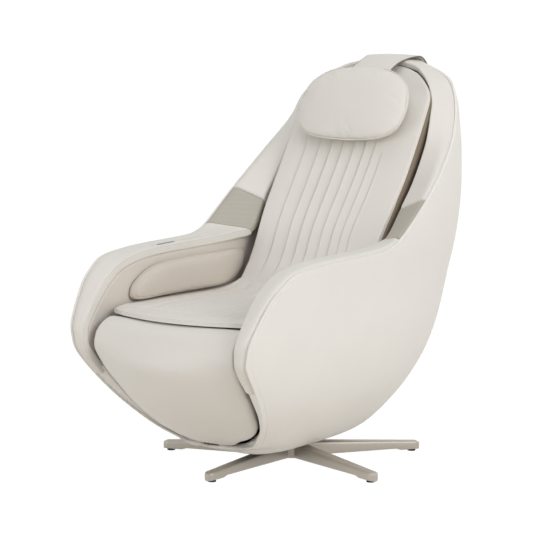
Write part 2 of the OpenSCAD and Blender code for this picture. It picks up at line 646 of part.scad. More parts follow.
module legrest_pins() at_axis() {
  color(steel) for (s = [-1, 1]) both(s)
    translate([leg_plate_x - 5, leg_pivot[0], leg_pivot[1]]) rotate([0, 90, 0]) cylinder(r = pin_r, h = leg_bracket_x + bracket_t - leg_plate_x + 5);
}
module legrest_motor() at_axis() {
  color(black) translate([0, leg_pivot[0], leg_pivot[1]]) difference() {
    rotate([0, 90, 0]) union() {
      translate([0, 0, 96]) cylinder(r = leg_motor_r, h = leg_plate_x - 5 - 96);
      translate([0, 0, 80]) cylinder(r = leg_motor_r - 5, h = 16);
    }
    translate([mount_x - tube / 2, 0, top_z - leg_pivot[1]]) cube([tube, 40, 10]);
  }
}

// ---- Backrest frame ----

back_foot = [fit_y(112), fit_z(560)];
back_head = [fit_y(254), fit_z(757)];
lean = atan2(back_head[0] - back_foot[0], back_head[1] - back_foot[1]);
// Along the straight of the back: x across, y into it from the sitter, z up along it.
module on_back() { translate([0, back_foot[0], back_foot[1]]) rotate([-lean, 0, 0]) children(); }
function on_side(v, u) = back_foot + u * [sin(lean), cos(lean)] + v * [cos(lean), -sin(lean)];

carriage_l = 56;
stop_gap = 4;
// The carriage stands at the foot of its travel.
carriage_u = stop_gap + carriage_l / 2;
arm_t = 10;
axle_r = 5;
roller_u = roller_r + axle_r + 7;
// The rollers stand clear of the back pad's rear face all along their travel.
function past_ends(u) = max(0, carriage_u - roller_u - u, u - carriage_u - roller_u - travel);
roller_v = max(concat([pad_t + 3 + roller_r], [for (s = [2:0.125:9])
  let (q = rear_line(s) - back_foot, d = past_ends(q * [sin(lean), cos(lean)]))
  if (d < roller_r + 0.8) q * [cos(lean), -sin(lean)] + sqrt(pow(roller_r + 0.8, 2) - d * d)]));
rod_v = roller_v + roller_r + arm_t + 15;
rod_l = travel + carriage_l + 2 * stop_gap;
bar_t = 12;
bar_w = 24;
head_w = 110;
function side(p) = [fit_y(p[0]), fit_z(p[1])];
module back_frame() at_axis() {
  color(steel) union() {
    for (s = [-1, 1]) both(s) translate([back_plate_x, 0, 0]) rotate([90, 0, 90]) linear_extrude(back_plate_t) difference() {
      polygon(concat(rear_run(0.8, 8.6, soft_gap + 1.2),
        [on_side(rod_v + bar_w / 2, rod_l + bar_t), on_side(rod_v + bar_w / 2, -bar_t), [rear_y + tube, top_z + tube + 40],
         [rear_y + tube, top_z + tube], [rear_y, top_z + tube]]));
      polygon([on_side(roller_v - 3, 16), on_side(roller_v - 3, rod_l - 16), on_side(rod_v - bar_w / 2 - 8, rod_l - 30), on_side(rod_v - bar_w / 2 - 8, 30)]);
    }
    for (u = [-bar_t, rod_l]) on_back() translate([-back_plate_x, rod_v - bar_w / 2, u]) difference() {
      cube([2 * back_plate_x, bar_w, bar_t]);
      for (x = [-rod_gap / 2, rod_gap / 2]) translate([back_plate_x + x, bar_w / 2, -1]) cylinder(r = rod_r, h = bar_t + 2);
      translate([back_plate_x, bar_w / 2, -1]) cylinder(r = screw_r - 2 + run, h = bar_t + 2);
    }
    // The plate behind the head.
    translate([-head_w, 0, 0]) rotate([90, 0, 90]) linear_extrude(2 * head_w)
      polygon(concat(rear_run(8, 12.6, soft_gap + 1.2), reversed(rear_run(8, 12.6, soft_gap + 3.5))));
    translate([-back_plate_x, 0, 0]) rotate([90, 0, 90]) linear_extrude(2 * back_plate_x)
      polygon(concat(rear_run(8, 8.6, soft_gap + 1.2), reversed(rear_run(8, 8.6, soft_gap + 14))));
  }
}
// ---- Massage unit ----

module guide_rods() at_axis() {
  color(steel) on_back() for (x = [-rod_gap / 2, rod_gap / 2]) translate([x, rod_v, -bar_t]) cylinder(r = rod_r, h = rod_l + 2 * bar_t);
}
screw_motor_r = 20;
screw_motor_l = 50;
module lead_screw() at_axis() {
  color(steel) on_back() translate([0, rod_v, 0]) union() {
    translate([0, 0, 0.3]) cylinder(r = screw_r, h = rod_l - 0.6);
    translate([0, 0, -bar_t - 8]) cylinder(r = screw_r - 2, h = rod_l + 2 * bar_t + 8);
  }
}
module screw_motor() at_axis() {
  color(black) on_back() translate([0, rod_v, -bar_t]) difference() {
    translate([0, 0, -screw_motor_l]) union() {
      cylinder(r = screw_motor_r, h = screw_motor_l);
      translate([-screw_motor_r, -bar_w / 2, screw_motor_l - 6]) cube([2 * screw_motor_r, bar_w, 6]);
    }
    translate([0, 0, -9]) cylinder(r = screw_r - 2 + run, h = 10);
  }
}
body_w = rod_gap + 34;
arm_v = rod_v - 12 - 1 - arm_t;
roller_axle_r = 4;
ear_x = roller_gap / 2 - roller_w / 2 - 7;
ear_t = 5;
module on_carriage() { on_back() translate([0, 0, carriage_u]) children(); }
module carriage() at_axis() {
  color(steel) on_carriage() union() {
    difference() {
      translate([-body_w / 2, rod_v - 12, -carriage_l / 2]) cube([body_w, 24, carriage_l]);
      for (x = [-rod_gap / 2, rod_gap / 2]) translate([x, rod_v, -carriage_l]) cylinder(r = rod_r + run, h = 2 * carriage_l);
      translate([0, rod_v, -carriage_l]) cylinder(r = screw_r + run, h = 2 * carriage_l);
      for (s = [-1, 1]) both(s) translate([24, rod_v - 13, -carriage_l / 2 - 1]) cube([body_w / 2 - 24 - 36, 10, carriage_l + 2]);
    }
    for (s = [-1, 1]) both(s) translate([roller_gap / 2, rod_v, 0]) rotate([90, 0, 0]) cylinder(r = axle_r, h = arm_t + 16);
  }
}
module knead_motor() at_axis() {
  color(black) on_carriage() translate([0, rod_v + 12, 0]) union() {
    translate([-38, 0, 0]) rotate([0, 90, 0]) translate([0, 14, 0]) cylinder(r = 14, h = 76);
    translate([-16, 0, -16]) cube([32, 20, 32]);
  }
}
module knead_arm(side) at_axis() {
  color(steel) on_carriage() both(side) difference() {
    union() {
      translate([0, arm_v + arm_t, 0]) rotate([90, 0, 0]) linear_extrude(arm_t) {
        translate([roller_gap / 2, 0]) circle(r = axle_r + 8);
        translate([ear_x, -roller_u - 8]) square([roller_gap / 2 - ear_x + 6, 2 * roller_u + 16]);
      }
      for (u = [-roller_u, roller_u]) {
        translate([ear_x, roller_v, u]) rotate([0, 90, 0]) cylinder(r = 8, h = ear_t);
        translate([ear_x, roller_v, u - 8]) cube([ear_t, arm_v - roller_v, 16]);
        translate([ear_x, roller_v, u]) rotate([0, 90, 0]) cylinder(r = roller_axle_r, h = roller_gap / 2 + roller_w / 2 - ear_x + 2);
      }
    }
    translate([roller_gap / 2, arm_v + arm_t + 1, 0]) rotate([90, 0, 0]) cylinder(r = axle_r + run, h = arm_t + 2);
  }
}
module roller(side, up) at_axis() {
  color(mesh_grey) on_carriage() both(side) translate([roller_gap / 2 - roller_w / 2, roller_v, up * roller_u]) rotate([0, 90, 0]) difference() {
    rotate_extrude() polygon([[0, 0], [roller_r - 3, 0], [roller_r, 4], [roller_r, roller_w - 4], [roller_r - 3, roller_w], [0, roller_w]]);
    translate([0, 0, -1]) cylinder(r = roller_axle_r + run, h = roller_w + 2);
  }
}

// ---- Controls on the arm ----

strip_from = 11.06;
strip_u = 0.8;
function along_arm(s) = band_top(s, strip_u);
strip_span = strip_l / norm(along_arm(strip_from + 1) - along_arm(strip_from));
function across_arm(s) = norm(band_inner(s) - band_edge(s));
// A thin piece lying on the arm: from s0 to s1 along it, w wide, between two heights over it.
function arm_ring(s, w, low, high) =
  let (d = rim_turn(s), h = w / 2 / across_arm(s))
  concat([for (k = [-1:0.5:1]) band_top(s, strip_u + h * k) - d * (high - 0.6 * k * k)],
    [for (k = [1:-0.5:-1]) band_top(s, strip_u + h * k) - d * low]);
module on_arm(s0, s1, w, low, high, steps = 8) {
  both(-1) skin([for (k = [0:steps]) let (e = abs(2 * k / steps - 1), s = lerp(s0, s1, 0.5 - 0.5 * cos(180 * k / steps)))
    arm_ring(s, w * sqrt(1.06 - pow(e, 6)), low, high)]);
}
strip_h = 1.8;
strip_seat = 0.7;
window_from = strip_from + 0.12 * strip_span;
module control_strip() at_axis() { color(mesh_grey) on_arm(strip_from, strip_from + strip_span, strip_w, strip_seat, strip_seat + strip_h); }
module control_window() at_axis() {
  color(black) on_arm(window_from, window_from + strip_span * window_l / strip_l, strip_w * 0.5, strip_seat + strip_h + 0.1, strip_seat + strip_h + 1);
}
module control_button() at_axis() {
  s = strip_from + 0.05 * strip_span;
  p = place(along_arm(s) - rim_turn(s) * (strip_seat + strip_h));
  t = unit(place(along_arm(s + 0.05)) - place(along_arm(s - 0.05)));
  c = cross(place(band_top(s, strip_u + 0.03)) - place(band_top(s, strip_u - 0.03)), t);
  n = unit(c[2] > 0 ? c : -c);
  a = cross(t, n);
  color(steel) both(-1) multmatrix([[a[0], t[0], n[0], p[0]], [a[1], t[1], n[1], p[1]], [a[2], t[2], n[2], p[2]]])
    translate([0, 0, 0.35]) cylinder(r = button_r, h = 1.4);
}

// ---- Power inlet and switch ----

inlet_z = 150;
inlet_r = 0.985;
inlet_w = 56;
inlet_l = 31;
flange = 3;
inlet_depth = 24;
inlet_p = place(egg(inlet_r, inlet_z));
inlet_tx = unit(place(egg(inlet_r - 0.01, inlet_z)) - place(egg(inlet_r + 0.005, inlet_z)));
inlet_tz = unit(place(egg(inlet_r, inlet_z + 4)) - place(egg(inlet_r, inlet_z - 4)));
inlet_n = unit(cross(inlet_tz, inlet_tx));
inlet_x = unit(cross(inlet_tz, inlet_n)) * -1;
// The plane of the inlet: x across, y up the shell, z outwards.
module at_inlet() {
  multmatrix([
    [inlet_x[0], inlet_tz[0], inlet_n[0], inlet_p[0]],
    [inlet_x[1], inlet_tz[1], inlet_n[1], inlet_p[1]],
    [inlet_x[2], inlet_tz[2], inlet_n[2], inlet_p[2]],
    [0, 0, 0, 1]
  ]) children();
}
module inlet_body(w, l, low, high) { translate([-w / 2, -l / 2, low]) cube([w, l, high - low]); }
rocker_x = -15;
rocker_w = 13;
rocker_l = 20;
rocker_turn = 7;
socket_x = 10;
rocker_low = -3;
// The rocker's pivot, which runs out into both walls of its well.
module rocker_pin(more = 0) {
  l = rocker_w / 2 + 2 + more;
  translate([rocker_x - l, 0, rocker_low]) rotate([0, 90, 0]) cylinder(r = 1.5 + more, h = 2 * l);
}
module power_inlet() at_axis() {
  color(black) at_inlet() {
    difference() {
      union() {
        inlet_body(inlet_w, inlet_l, -inlet_depth, 1);
        inlet_body(inlet_w + 2 * flange, inlet_l + 2 * flange, 1, 3);
      }
      translate([rocker_x - rocker_w / 2 - 0.4, -rocker_l / 2 - 1, -10]) cube([rocker_w + 0.8, rocker_l + 2, 20]);
      translate([socket_x - 12, -8, -16]) cube([24, 16, 20]);
      rocker_pin(0.3);
    }
    for (x = [-7, 0, 7]) translate([socket_x + x - 1, x == 0 ? 1 : -4, -16]) cube([2, 4, 13]);
  }
}
module power_switch() at_axis() {
  color([0.6, 0.1, 0.1]) at_inlet() union() {
    translate([rocker_x - rocker_w / 2, 0, rocker_low]) rotate([90, 0, 90]) linear_extrude(rocker_w)
      polygon([[-rocker_l / 2, 6], [0, 4.5], [rocker_l / 2, 6], [rocker_l / 2 - 1, -2], [0, -5], [1 - rocker_l / 2, -2]]);
    rocker_pin();
  }
}
module shell_right() at_axis() {
  color(cream) difference() {
    shell_half();
    at_inlet() inlet_body(inlet_w + 0.4, inlet_l + 0.4, -shell_wall - 6, 4);
  }
}
module shell_left() at_axis() { color(cream) both(-1) shell_half(); }

star_base();
foot_glides();
swivel_column();
bearing_race_lower();
bearing_balls();
bearing_race_upper();
retaining_ring();
swivel_plate();
seat_frame();
seat_board();
seat_mat();
shell_left();
shell_right();
bottom_cover();
arm_pad(-1);  // arm_pad_left
arm_pad(1);  // arm_pad_right
grille(-1);  // speaker_grille_left
grille(1);  // speaker_grille_right
wing_pad(-1);  // wing_pad_left
wing_pad(1);  // wing_pad_right
side_panel(-1);  // side_panel_left
side_panel(1);  // side_panel_right
side_cushion(-1);  // side_cushion_left
side_cushion(1);  // side_cushion_right
control_strip();
control_window();
control_button();
power_inlet();
power_switch();
legrest_pad();
legrest_frame();
legrest_pins();
legrest_motor();
back_pad();
back_frame();
guide_rods();
lead_screw();
screw_motor();
carriage();
knead_motor();
knead_arm(-1);  // knead_arm_left
knead_arm(1);  // knead_arm_right
roller(-1, 1);  // roller_upper_left
roller(-1, -1);  // roller_lower_left
roller(1, 1);  // roller_upper_right
roller(1, -1);  // roller_lower_right
control_box();
air_pump();
head_pillow();
pillow_strap();
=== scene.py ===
"""Visual model of a compact egg-shaped massage chair: a synthetic-leather shell on a star base,
padded arms and wings, channelled back and seat, leg rest, head pillow and strap.
Lengths in the tables are millimetres with the swivel axis at x = y = 0; meshes are in metres."""

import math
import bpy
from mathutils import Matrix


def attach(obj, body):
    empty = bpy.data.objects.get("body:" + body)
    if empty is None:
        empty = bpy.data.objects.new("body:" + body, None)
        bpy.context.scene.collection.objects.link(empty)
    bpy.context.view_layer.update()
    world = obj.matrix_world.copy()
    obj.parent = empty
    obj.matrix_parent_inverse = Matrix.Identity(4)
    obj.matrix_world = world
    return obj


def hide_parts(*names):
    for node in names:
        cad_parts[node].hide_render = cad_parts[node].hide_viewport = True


bl_info = {
    "name": "Egg massage chair",
    "version": (1, 0, 0),
    "blender": (4, 5, 0),
    "location": "View3D > Sidebar > Chair",
    "description": "Builds an upholstered egg-shaped massage chair piece by piece",
    "category": "Add Mesh",
}

import bpy
import numpy as np

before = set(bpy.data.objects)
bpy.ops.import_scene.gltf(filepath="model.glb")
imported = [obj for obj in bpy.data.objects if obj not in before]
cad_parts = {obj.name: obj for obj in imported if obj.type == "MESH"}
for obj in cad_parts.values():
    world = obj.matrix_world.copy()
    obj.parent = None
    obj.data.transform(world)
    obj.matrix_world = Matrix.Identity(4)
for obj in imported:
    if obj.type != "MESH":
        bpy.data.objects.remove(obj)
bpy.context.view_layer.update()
AXIS_Y = 14.0  # the swivel axis in the chair's frame
SHELL_WALL = 6.0

# ---------------------------------------------------------------- curves and forms


def along(rows, x, k):
    """Value in column k at x: a cubic through the rows, with each row's slope taken from its neighbours."""
    t = np.asarray(rows, float)
    x = np.asarray(x, float)
    q, v = t[:, 0], t[:, k]
    lo, hi = np.maximum(np.arange(len(q)) - 1, 0), np.minimum(np.arange(len(q)) + 1, len(q) - 1)
    m = (v[hi] - v[lo]) / (q[hi] - q[lo])
    i = np.clip(np.searchsorted(q, x, side="right") - 1, 0, len(q) - 2)
    h = q[i + 1] - q[i]
    u = np.clip((x - q[i]) / h, 0, 1)
    return (
        (1 + 2 * u) * (1 - u) ** 2 * v[i]
        + u * (1 - u) ** 2 * h * m[i]
        + u * u * (3 - 2 * u) * v[i + 1]
        + u * u * (u - 1) * h * m[i + 1]
    )


def unit(v):
    """Vectors scaled to length one."""
    return v / np.maximum(np.linalg.norm(v, axis=-1, keepdims=True), 1e-9)


def points(x, y, z):
    """Three arrays of one shape, or that broadcast to one, stacked as points."""
    return np.stack(np.broadcast_arrays(x, y, z), -1).astype(float)


# Height, half width, depth ahead of the widest line, depth behind it.
EGG = [
    [50, 75, 150, 170], [70, 122, 222, 234], [90, 153, 286, 268], [140, 199, 430, 320],
    [200, 240, 560, 368], [270, 266, 680, 425], [350, 280, 785, 470], [450, 288, 870, 510],
    [550, 300, 885, 541], [650, 304, 880, 560], [750, 300, 880, 568], [790, 297, 880, 567],
    [827, 294, 880, 564], [862, 292, 880, 560], [887, 289, 880, 555], [907, 284, 880, 550],
    [930, 275, 880, 544], [946, 257, 880, 539], [958, 232, 880, 533], [969, 199, 880, 526],
    [979, 150, 880, 518], [986, 0, 880, 508],
]
WIDEST_Y = -60.0
# The open rim in side view from the bottom centre round the arm to the crown: y, z, and the
# height at which the same rib meets the centre line of the back.
RIM = [[i, *p] for i, p in enumerate([
    [-338, 86, 86], [-311, 92, 92], [-338, 118, 118], [-395, 180, 160], [-465, 257, 210],
    [-512, 314, 260], [-521, 345, 300], [-515, 388, 340], [-466, 463, 400], [-425, 498, 430],
    [-375, 524, 460], [-270, 536, 500], [-75, 542, 540], [-2, 551, 570], [45, 573, 600],
    [134, 638, 660], [212, 698, 720], [294, 769, 790], [334, 809, 835], [357, 840, 865],
    [374, 877, 898], [395, 907, 922], [417, 930, 940], [434, 946, 953], [443, 966, 970],
    [448, 986, 986],
])]
RIM_END = len(RIM) - 1
# Place along the rim, then the inner edge of the padding: x, y, z.
INNER = [
    [4, 212, -460, 262], [5, 218, -504, 312], [6, 221, -516, 343], [7, 222, -508, 384],
    [8, 222, -454, 454], [9, 222, -414, 488], [10, 222, -366, 512], [11, 222, -264, 529],
    [12, 221, -70, 535], [13, 214, 48, 541], [14, 204, 118, 554], [15, 209, 170, 618],
    [16, 208.5, 226, 681], [17, 206.5, 279, 760], [18, 204.5, 301, 807], [19, 201, 316, 844],
    [20, 195.5, 330, 873], [21, 183, 343, 899], [22, 162.5, 358, 923], [23, 132.5, 378, 944],
    [24, 94, 396, 961], [25, 0, 413, 977],
]
PAD_START, GRILLE_START, GRILLE_END = 4.0, 13.8, 15.2


def egg(r, z, t=0.0):
    """The egg: at height z, |x / a|^n + |r|^n = 1 with r from -1 in front to 1 behind, t inside it."""
    r, z = np.broadcast_arrays(np.asarray(r, float), np.asarray(z, float))
    ahead = r < 0
    d = np.where(ahead, along(EGG, z, 2), along(EGG, z, 3)) - t
    n = np.where(ahead, 3.0, 3.2)
    a = np.maximum(along(EGG, z, 1) - t, 0)
    lift = t * np.maximum(0, 1 - (z - 50) / 150) - t * np.maximum(0, (z - 880) / 106)
    return points(a * np.maximum(0, 1 - np.abs(r) ** n) ** (1 / n), WIDEST_Y + d * r, z + lift)


def rim_r(s):
    """Where the rim cuts the egg's level curve: the rim's y over the egg's depth at that height."""
    y, z = along(RIM, s, 1), along(RIM, s, 2)
    d = np.where(y < WIDEST_Y, along(EGG, z, 2), along(EGG, z, 3))
    r = np.clip((y - WIDEST_Y) / d, -1, 1)
    return np.where(s <= 0, -1.0, np.where(s >= RIM_END, 1.0, r))


def rim_at(s, t):
    """The rim at s: the egg at the rim's height and level place, t inside its outer face."""
    return egg(rim_r(s), along(RIM, s, 2), t)


def rim_turn(s):
    """Square to the rim in side view and into the padding, leaning over to straight down at the crown."""
    s = np.asarray(s, float)
    dy = along(RIM, s + 0.5, 1) - along(RIM, s - 0.5, 1)
    dz = along(RIM, s + 0.5, 2) - along(RIM, s - 0.5, 2)
    side = unit(points(0, dz, -dy))
    k = np.clip((s - 19) / (RIM_END - 19), 0, 1)[..., None]
    top = unit((1 - k) * np.array([0, 0.86, -0.5]) + k * np.array([0, 0.1, -1.0]))
    return np.where((s > 19)[..., None], top, side)


def pad_edge(s):
    """The padding's outer edge: the rim just inside the shell's wall, 0.5 mm further in below the arm's front."""
    return rim_at(s, SHELL_WALL + 0.3 + 0.5 * np.clip(5 - s, 0, 1))


def inner_at(s):
    """The padding's inner edge at s, from its table."""
    return points(along(INNER, s, 1), along(INNER, s, 2), along(INNER, s, 3))


# ---------------------------------------------------------------- meshes


def place(p):
    """Millimetres about the swivel axis to metres in the chair's frame."""
    q = np.asarray(p, float).reshape(-1, 3).copy()
    q[:, 1] += AXIS_Y
    return q * 0.001


def make(name, verts, faces, uv=None, smooth=True):
    """A mesh object at the origin from points in millimetres; uv is one pair a vertex."""
    me = bpy.data.meshes.new(name)
    me.from_pydata(place(verts).tolist(), [], [list(map(int, f)) for f in faces])
    me.update()
    if uv is not None:
        layer = me.uv_layers.new(name="Cloth")
        loops = np.empty(len(me.loops), np.int32)
        me.loops.foreach_get("vertex_index", loops)
        layer.data.foreach_set("uv", np.asarray(uv, float)[loops].ravel())
    me.polygons.foreach_set("use_smooth", np.full(len(me.polygons), smooth))
    ob = bpy.data.objects.new(name, me)
    bpy.context.scene.collection.objects.link(ob)
    return ob


def grid_faces(n, m, wrap):
    """Quads of an n by m grid, closed round the second way if wrap."""
    i, j = np.meshgrid(np.arange(n - 1), np.arange(m if wrap else m - 1), indexing="ij")
    k = (j + 1) % m
    return np.stack([i * m + j, i * m + k, (i + 1) * m + k, (i + 1) * m + j], -1).reshape(-1, 4)


def strip_caps(n, m):
    """Faces that close the first and last ring of m points, each ring folded flat in two halves."""
    j = np.arange(m // 2 - 1)
    a = np.stack([j, m - 1 - j, m - 2 - j, j + 1], -1)
    b = a[:, ::-1] + (n - 1) * m
    return np.concatenate([a, b])


def volume(p, faces):
    """Six times the signed volume of closed quads, by the sum of corner triple products."""
    a, b, c, d = (p[faces[:, i]] for i in range(4))
    return np.einsum("ij,ij->", a, np.cross(b, c)) + np.einsum("ij,ij->", a, np.cross(c, d))


def outward(p, faces):
    """The same faces, turned round if they enclose a negative volume."""
    return faces[:, ::-1] if volume(p, faces) < 0 else faces


def loft(name, rings, uv=None, smooth_ends=False):
    """A closed solid through rings[n, m, 3], each joined to the next, with its faces turned outwards."""
    n, m = rings.shape[:2]
    p = rings.reshape(-1, 3)
    faces = outward(p, np.concatenate([grid_faces(n, m, True), strip_caps(n, m)]))
    ob = make(name, p, faces, None if uv is None else uv.reshape(-1, 2))
    if not smooth_ends:
        ob.data.polygons.foreach_set("use_smooth", np.arange(len(faces)) < (n - 1) * m)
    return ob


def tube(name, path, radius, sides=10):
    """A round cord of the given radius: a circle square to each point of path[n, 3], with rounded tips."""
    n = len(path)
    t = unit(np.gradient(path, axis=0))
    a = unit(np.cross(t, np.array([0.31, 0.17, 0.93])))
    b = np.cross(t, a)
    th = (np.arange(sides) * 2 * np.pi / sides)[None, :, None]
    from_tip = np.minimum(np.arange(n), np.arange(n)[::-1])
    r = radius * np.clip((from_tip + 0.35) / 2.0, 0, 1) ** 0.5
    rings = path[:, None] + r[:, None, None] * (np.cos(th) * a[:, None] + np.sin(th) * b[:, None])
    return loft(name, rings, smooth_ends=True)


def closed_outline(p, k):
    """A closed outline made k times finer by a cubic through its points: between b and c, with a before and d
    after them, half of 2b + (c - a)u + (2a - 5b + 4c - d)u^2 + (3b - a - 3c + d)u^3."""
    p = np.asarray(p, float)
    n = len(p)
    x = np.linspace(0, n, n * k, endpoint=False)
    i = np.floor(x).astype(int)
    u = (x - i)[:, None]
    a, b, c, d = (p[(i + step) % n] for step in (-1, 0, 1, 2))
    return 0.5 * (2 * b + (c - a) * u + (2 * a - 5 * b + 4 * c - d) * u**2 + (3 * b - a - 3 * c + d) * u**3)


def section(front, corner):
    """A slab's ring of points, clockwise from its face's left end, front of them on each side and corner in each
    rounded corner. Columns: place across the face from -1 to 1, share of the corner across, place through the
    slab from 1 to -1, share of the corner through; the shares are the sine and cosine of the corner's turn."""
    f = np.linspace(-1, 1, front)
    th = np.linspace(0, np.pi / 2, corner + 2)[1:-1]
    one, zero = np.ones_like, np.zeros_like
    return np.concatenate([
        np.stack([f, zero(f), one(f), one(f)], -1),
        np.stack([one(th), np.sin(th), one(th), np.cos(th)], -1),
        np.array([[1, 1, 1, 0], [1, 1, -1, 0]], float),
        np.stack([one(th), np.cos(th), -one(th), -np.sin(th)], -1),
        np.stack([f[::-1], zero(f), -one(f), -one(f)], -1),
        np.stack([-one(th), -np.sin(th), -one(th), -np.cos(th)], -1),
        np.array([[-1, -1, -1, 0], [-1, -1, 1, 0]], float),
        np.stack([-one(th), -np.cos(th), one(th), np.sin(th)], -1),
    ])


def slab(width, top, rear, ring, edge):
    """Rings of a pad. top(x) and rear(x) give the face and the back for x across it, and each point lies on the
    line between them; the corners are rounded by edge."""
    a, cx, b, ch = ring.T
    w, e = width[:, None], edge[:, None]
    x = a * (w - e) + cx * e
    f, r = top(x), rear(x)
    deep = np.linalg.norm(f - r, axis=-1)
    down = deep * (1 - b) / 2 + e * (b - ch)
    return f + unit(r - f) * down[..., None]


def dome(name, rings, mid, back):
    """A closed cushion: rings[n, m, 3] from its rear edge inwards over the face, closed by a point on the
    face and a point on the back."""
    n, m = rings.shape[:2]
    p = np.concatenate([rings.reshape(-1, 3), [mid, back]])
    j = np.arange(m)
    k = (j + 1) % m
    fan = [(n - 1) * m + j, (n - 1) * m + k, np.full(m, n * m)]
    rear = [k, j, np.full(m, n * m + 1)]
    quads = grid_faces(n, m, True)
    tris = np.concatenate([np.stack(fan, -1), np.stack(rear, -1)])
    q = np.concatenate([np.concatenate([tris, tris[:, 2:]], 1), quads])
    if volume(p, q) < 0:
        quads, tris = quads[:, ::-1], tris[:, ::-1]
    return make(name, p, [*quads.tolist(), *tris.tolist()])


def apply_all(ob):
    """Fixes an object's modifiers into its mesh."""
    graph = bpy.context.evaluated_depsgraph_get()
    mesh = bpy.data.meshes.new_from_object(ob.evaluated_get(graph))
    ob.modifiers.clear()
    ob.data = mesh


def read(values, name):
    """A collection's vectors as rows."""
    out = np.empty(len(values) * 3)
    values.foreach_get(name, out)
    return out.reshape(-1, 3)


def inflate(ob, inset, cap, voxel, pressure=4.0, frames=20):
    """Padding by cloth: the form, drawn in by inset mm and remeshed evenly, is blown up without weight, and its
    swelling is scaled until no point moves more than cap mm."""
    even = ob.modifiers.new("Even", "REMESH")
    even.mode, even.voxel_size = "VOXEL", voxel
    apply_all(ob)
    me = ob.data
    start = read(me.vertices, "co") - read(me.vertex_normals, "vector") * inset * 0.001
    me.vertices.foreach_set("co", start.ravel())
    me.update()
    cloth = ob.modifiers.new("Cloth", "CLOTH")
    skin = cloth.settings
    skin.quality, skin.mass = 5, 0.3
    skin.tension_stiffness = skin.compression_stiffness = 14
    skin.shear_stiffness, skin.bending_stiffness = 6, 0.8
    skin.use_pressure, skin.uniform_pressure_force = True, pressure
    skin.effector_weights.gravity = 0
    cloth.point_cache.frame_start, cloth.point_cache.frame_end = 1, frames
    scene = bpy.context.scene
    for k in range(1, frames + 1):
        scene.frame_set(k)
    graph = bpy.context.evaluated_depsgraph_get()
    move = read(ob.evaluated_get(graph).data.vertices, "co") - start
    move -= move.mean(0)
    move *= min(1.0, cap * 0.001 / max(np.linalg.norm(move, axis=1).max(), 1e-9))
    ob.modifiers.clear()
    me.vertices.foreach_set("co", (start + move).ravel())
    me.update()
    scene.frame_set(1)
    fine = ob.modifiers.new("Fine", "SUBSURF")
    fine.levels = fine.render_levels = 1
    apply_all(ob)
    ob.data.polygons.foreach_set("use_smooth", np.full(len(ob.data.polygons), True))
    return ob


def press(ob, depth):
    """Sews into an inflated piece: each point moves along its normal by depth(points in mm about the axis)."""
    me = ob.data
    p, n = read(me.vertices, "co"), read(me.vertex_normals, "vector")
    q = p * 1000 - [0, AXIS_Y, 0]
    me.vertices.foreach_set("co", (p + n * depth(q)[:, None] * 0.001).ravel())
    me.update()
    return ob


# ---------------------------------------------------------------- finishes


class Sock:
    """A shader output that takes part in Python arithmetic; each operation adds its Math node."""

    def __init__(self, tree, out):
        self.tree, self.out = tree, out

    def _math(self, kind, a, b=None):
        """A Math node of this kind; a socket is linked and a number is set."""
        node = self.tree.nodes.new("ShaderNodeMath")
        node.operation = kind
        for i, v in enumerate((a, b)):
            if isinstance(v, Sock):
                self.tree.links.new(v.out, node.inputs[i])
            elif v is not None:
                node.inputs[i].default_value = v
        return Sock(self.tree, node.outputs[0])

    def __add__(self, o):
        return self._math("ADD", self, o)

    __radd__ = __add__

    def __sub__(self, o):
        return self._math("SUBTRACT", self, o)

    def __rsub__(self, o):
        return self._math("SUBTRACT", o, self)

    def __mul__(self, o):
        return self._math("MULTIPLY", self, o)

    __rmul__ = __mul__

    def __pow__(self, o):
        return self._math("POWER", self, o)

    def __abs__(self):
        return self._math("ABSOLUTE", self)

    def __mod__(self, o):
        return self._math("FLOORED_MODULO", self, o)

    def sin(self):
        return self._math("SINE", self)

    def less(self, o):
        return self._math("LESS_THAN", self, o)

    def at_most(self, o):
        return self._math("MINIMUM", self, o)


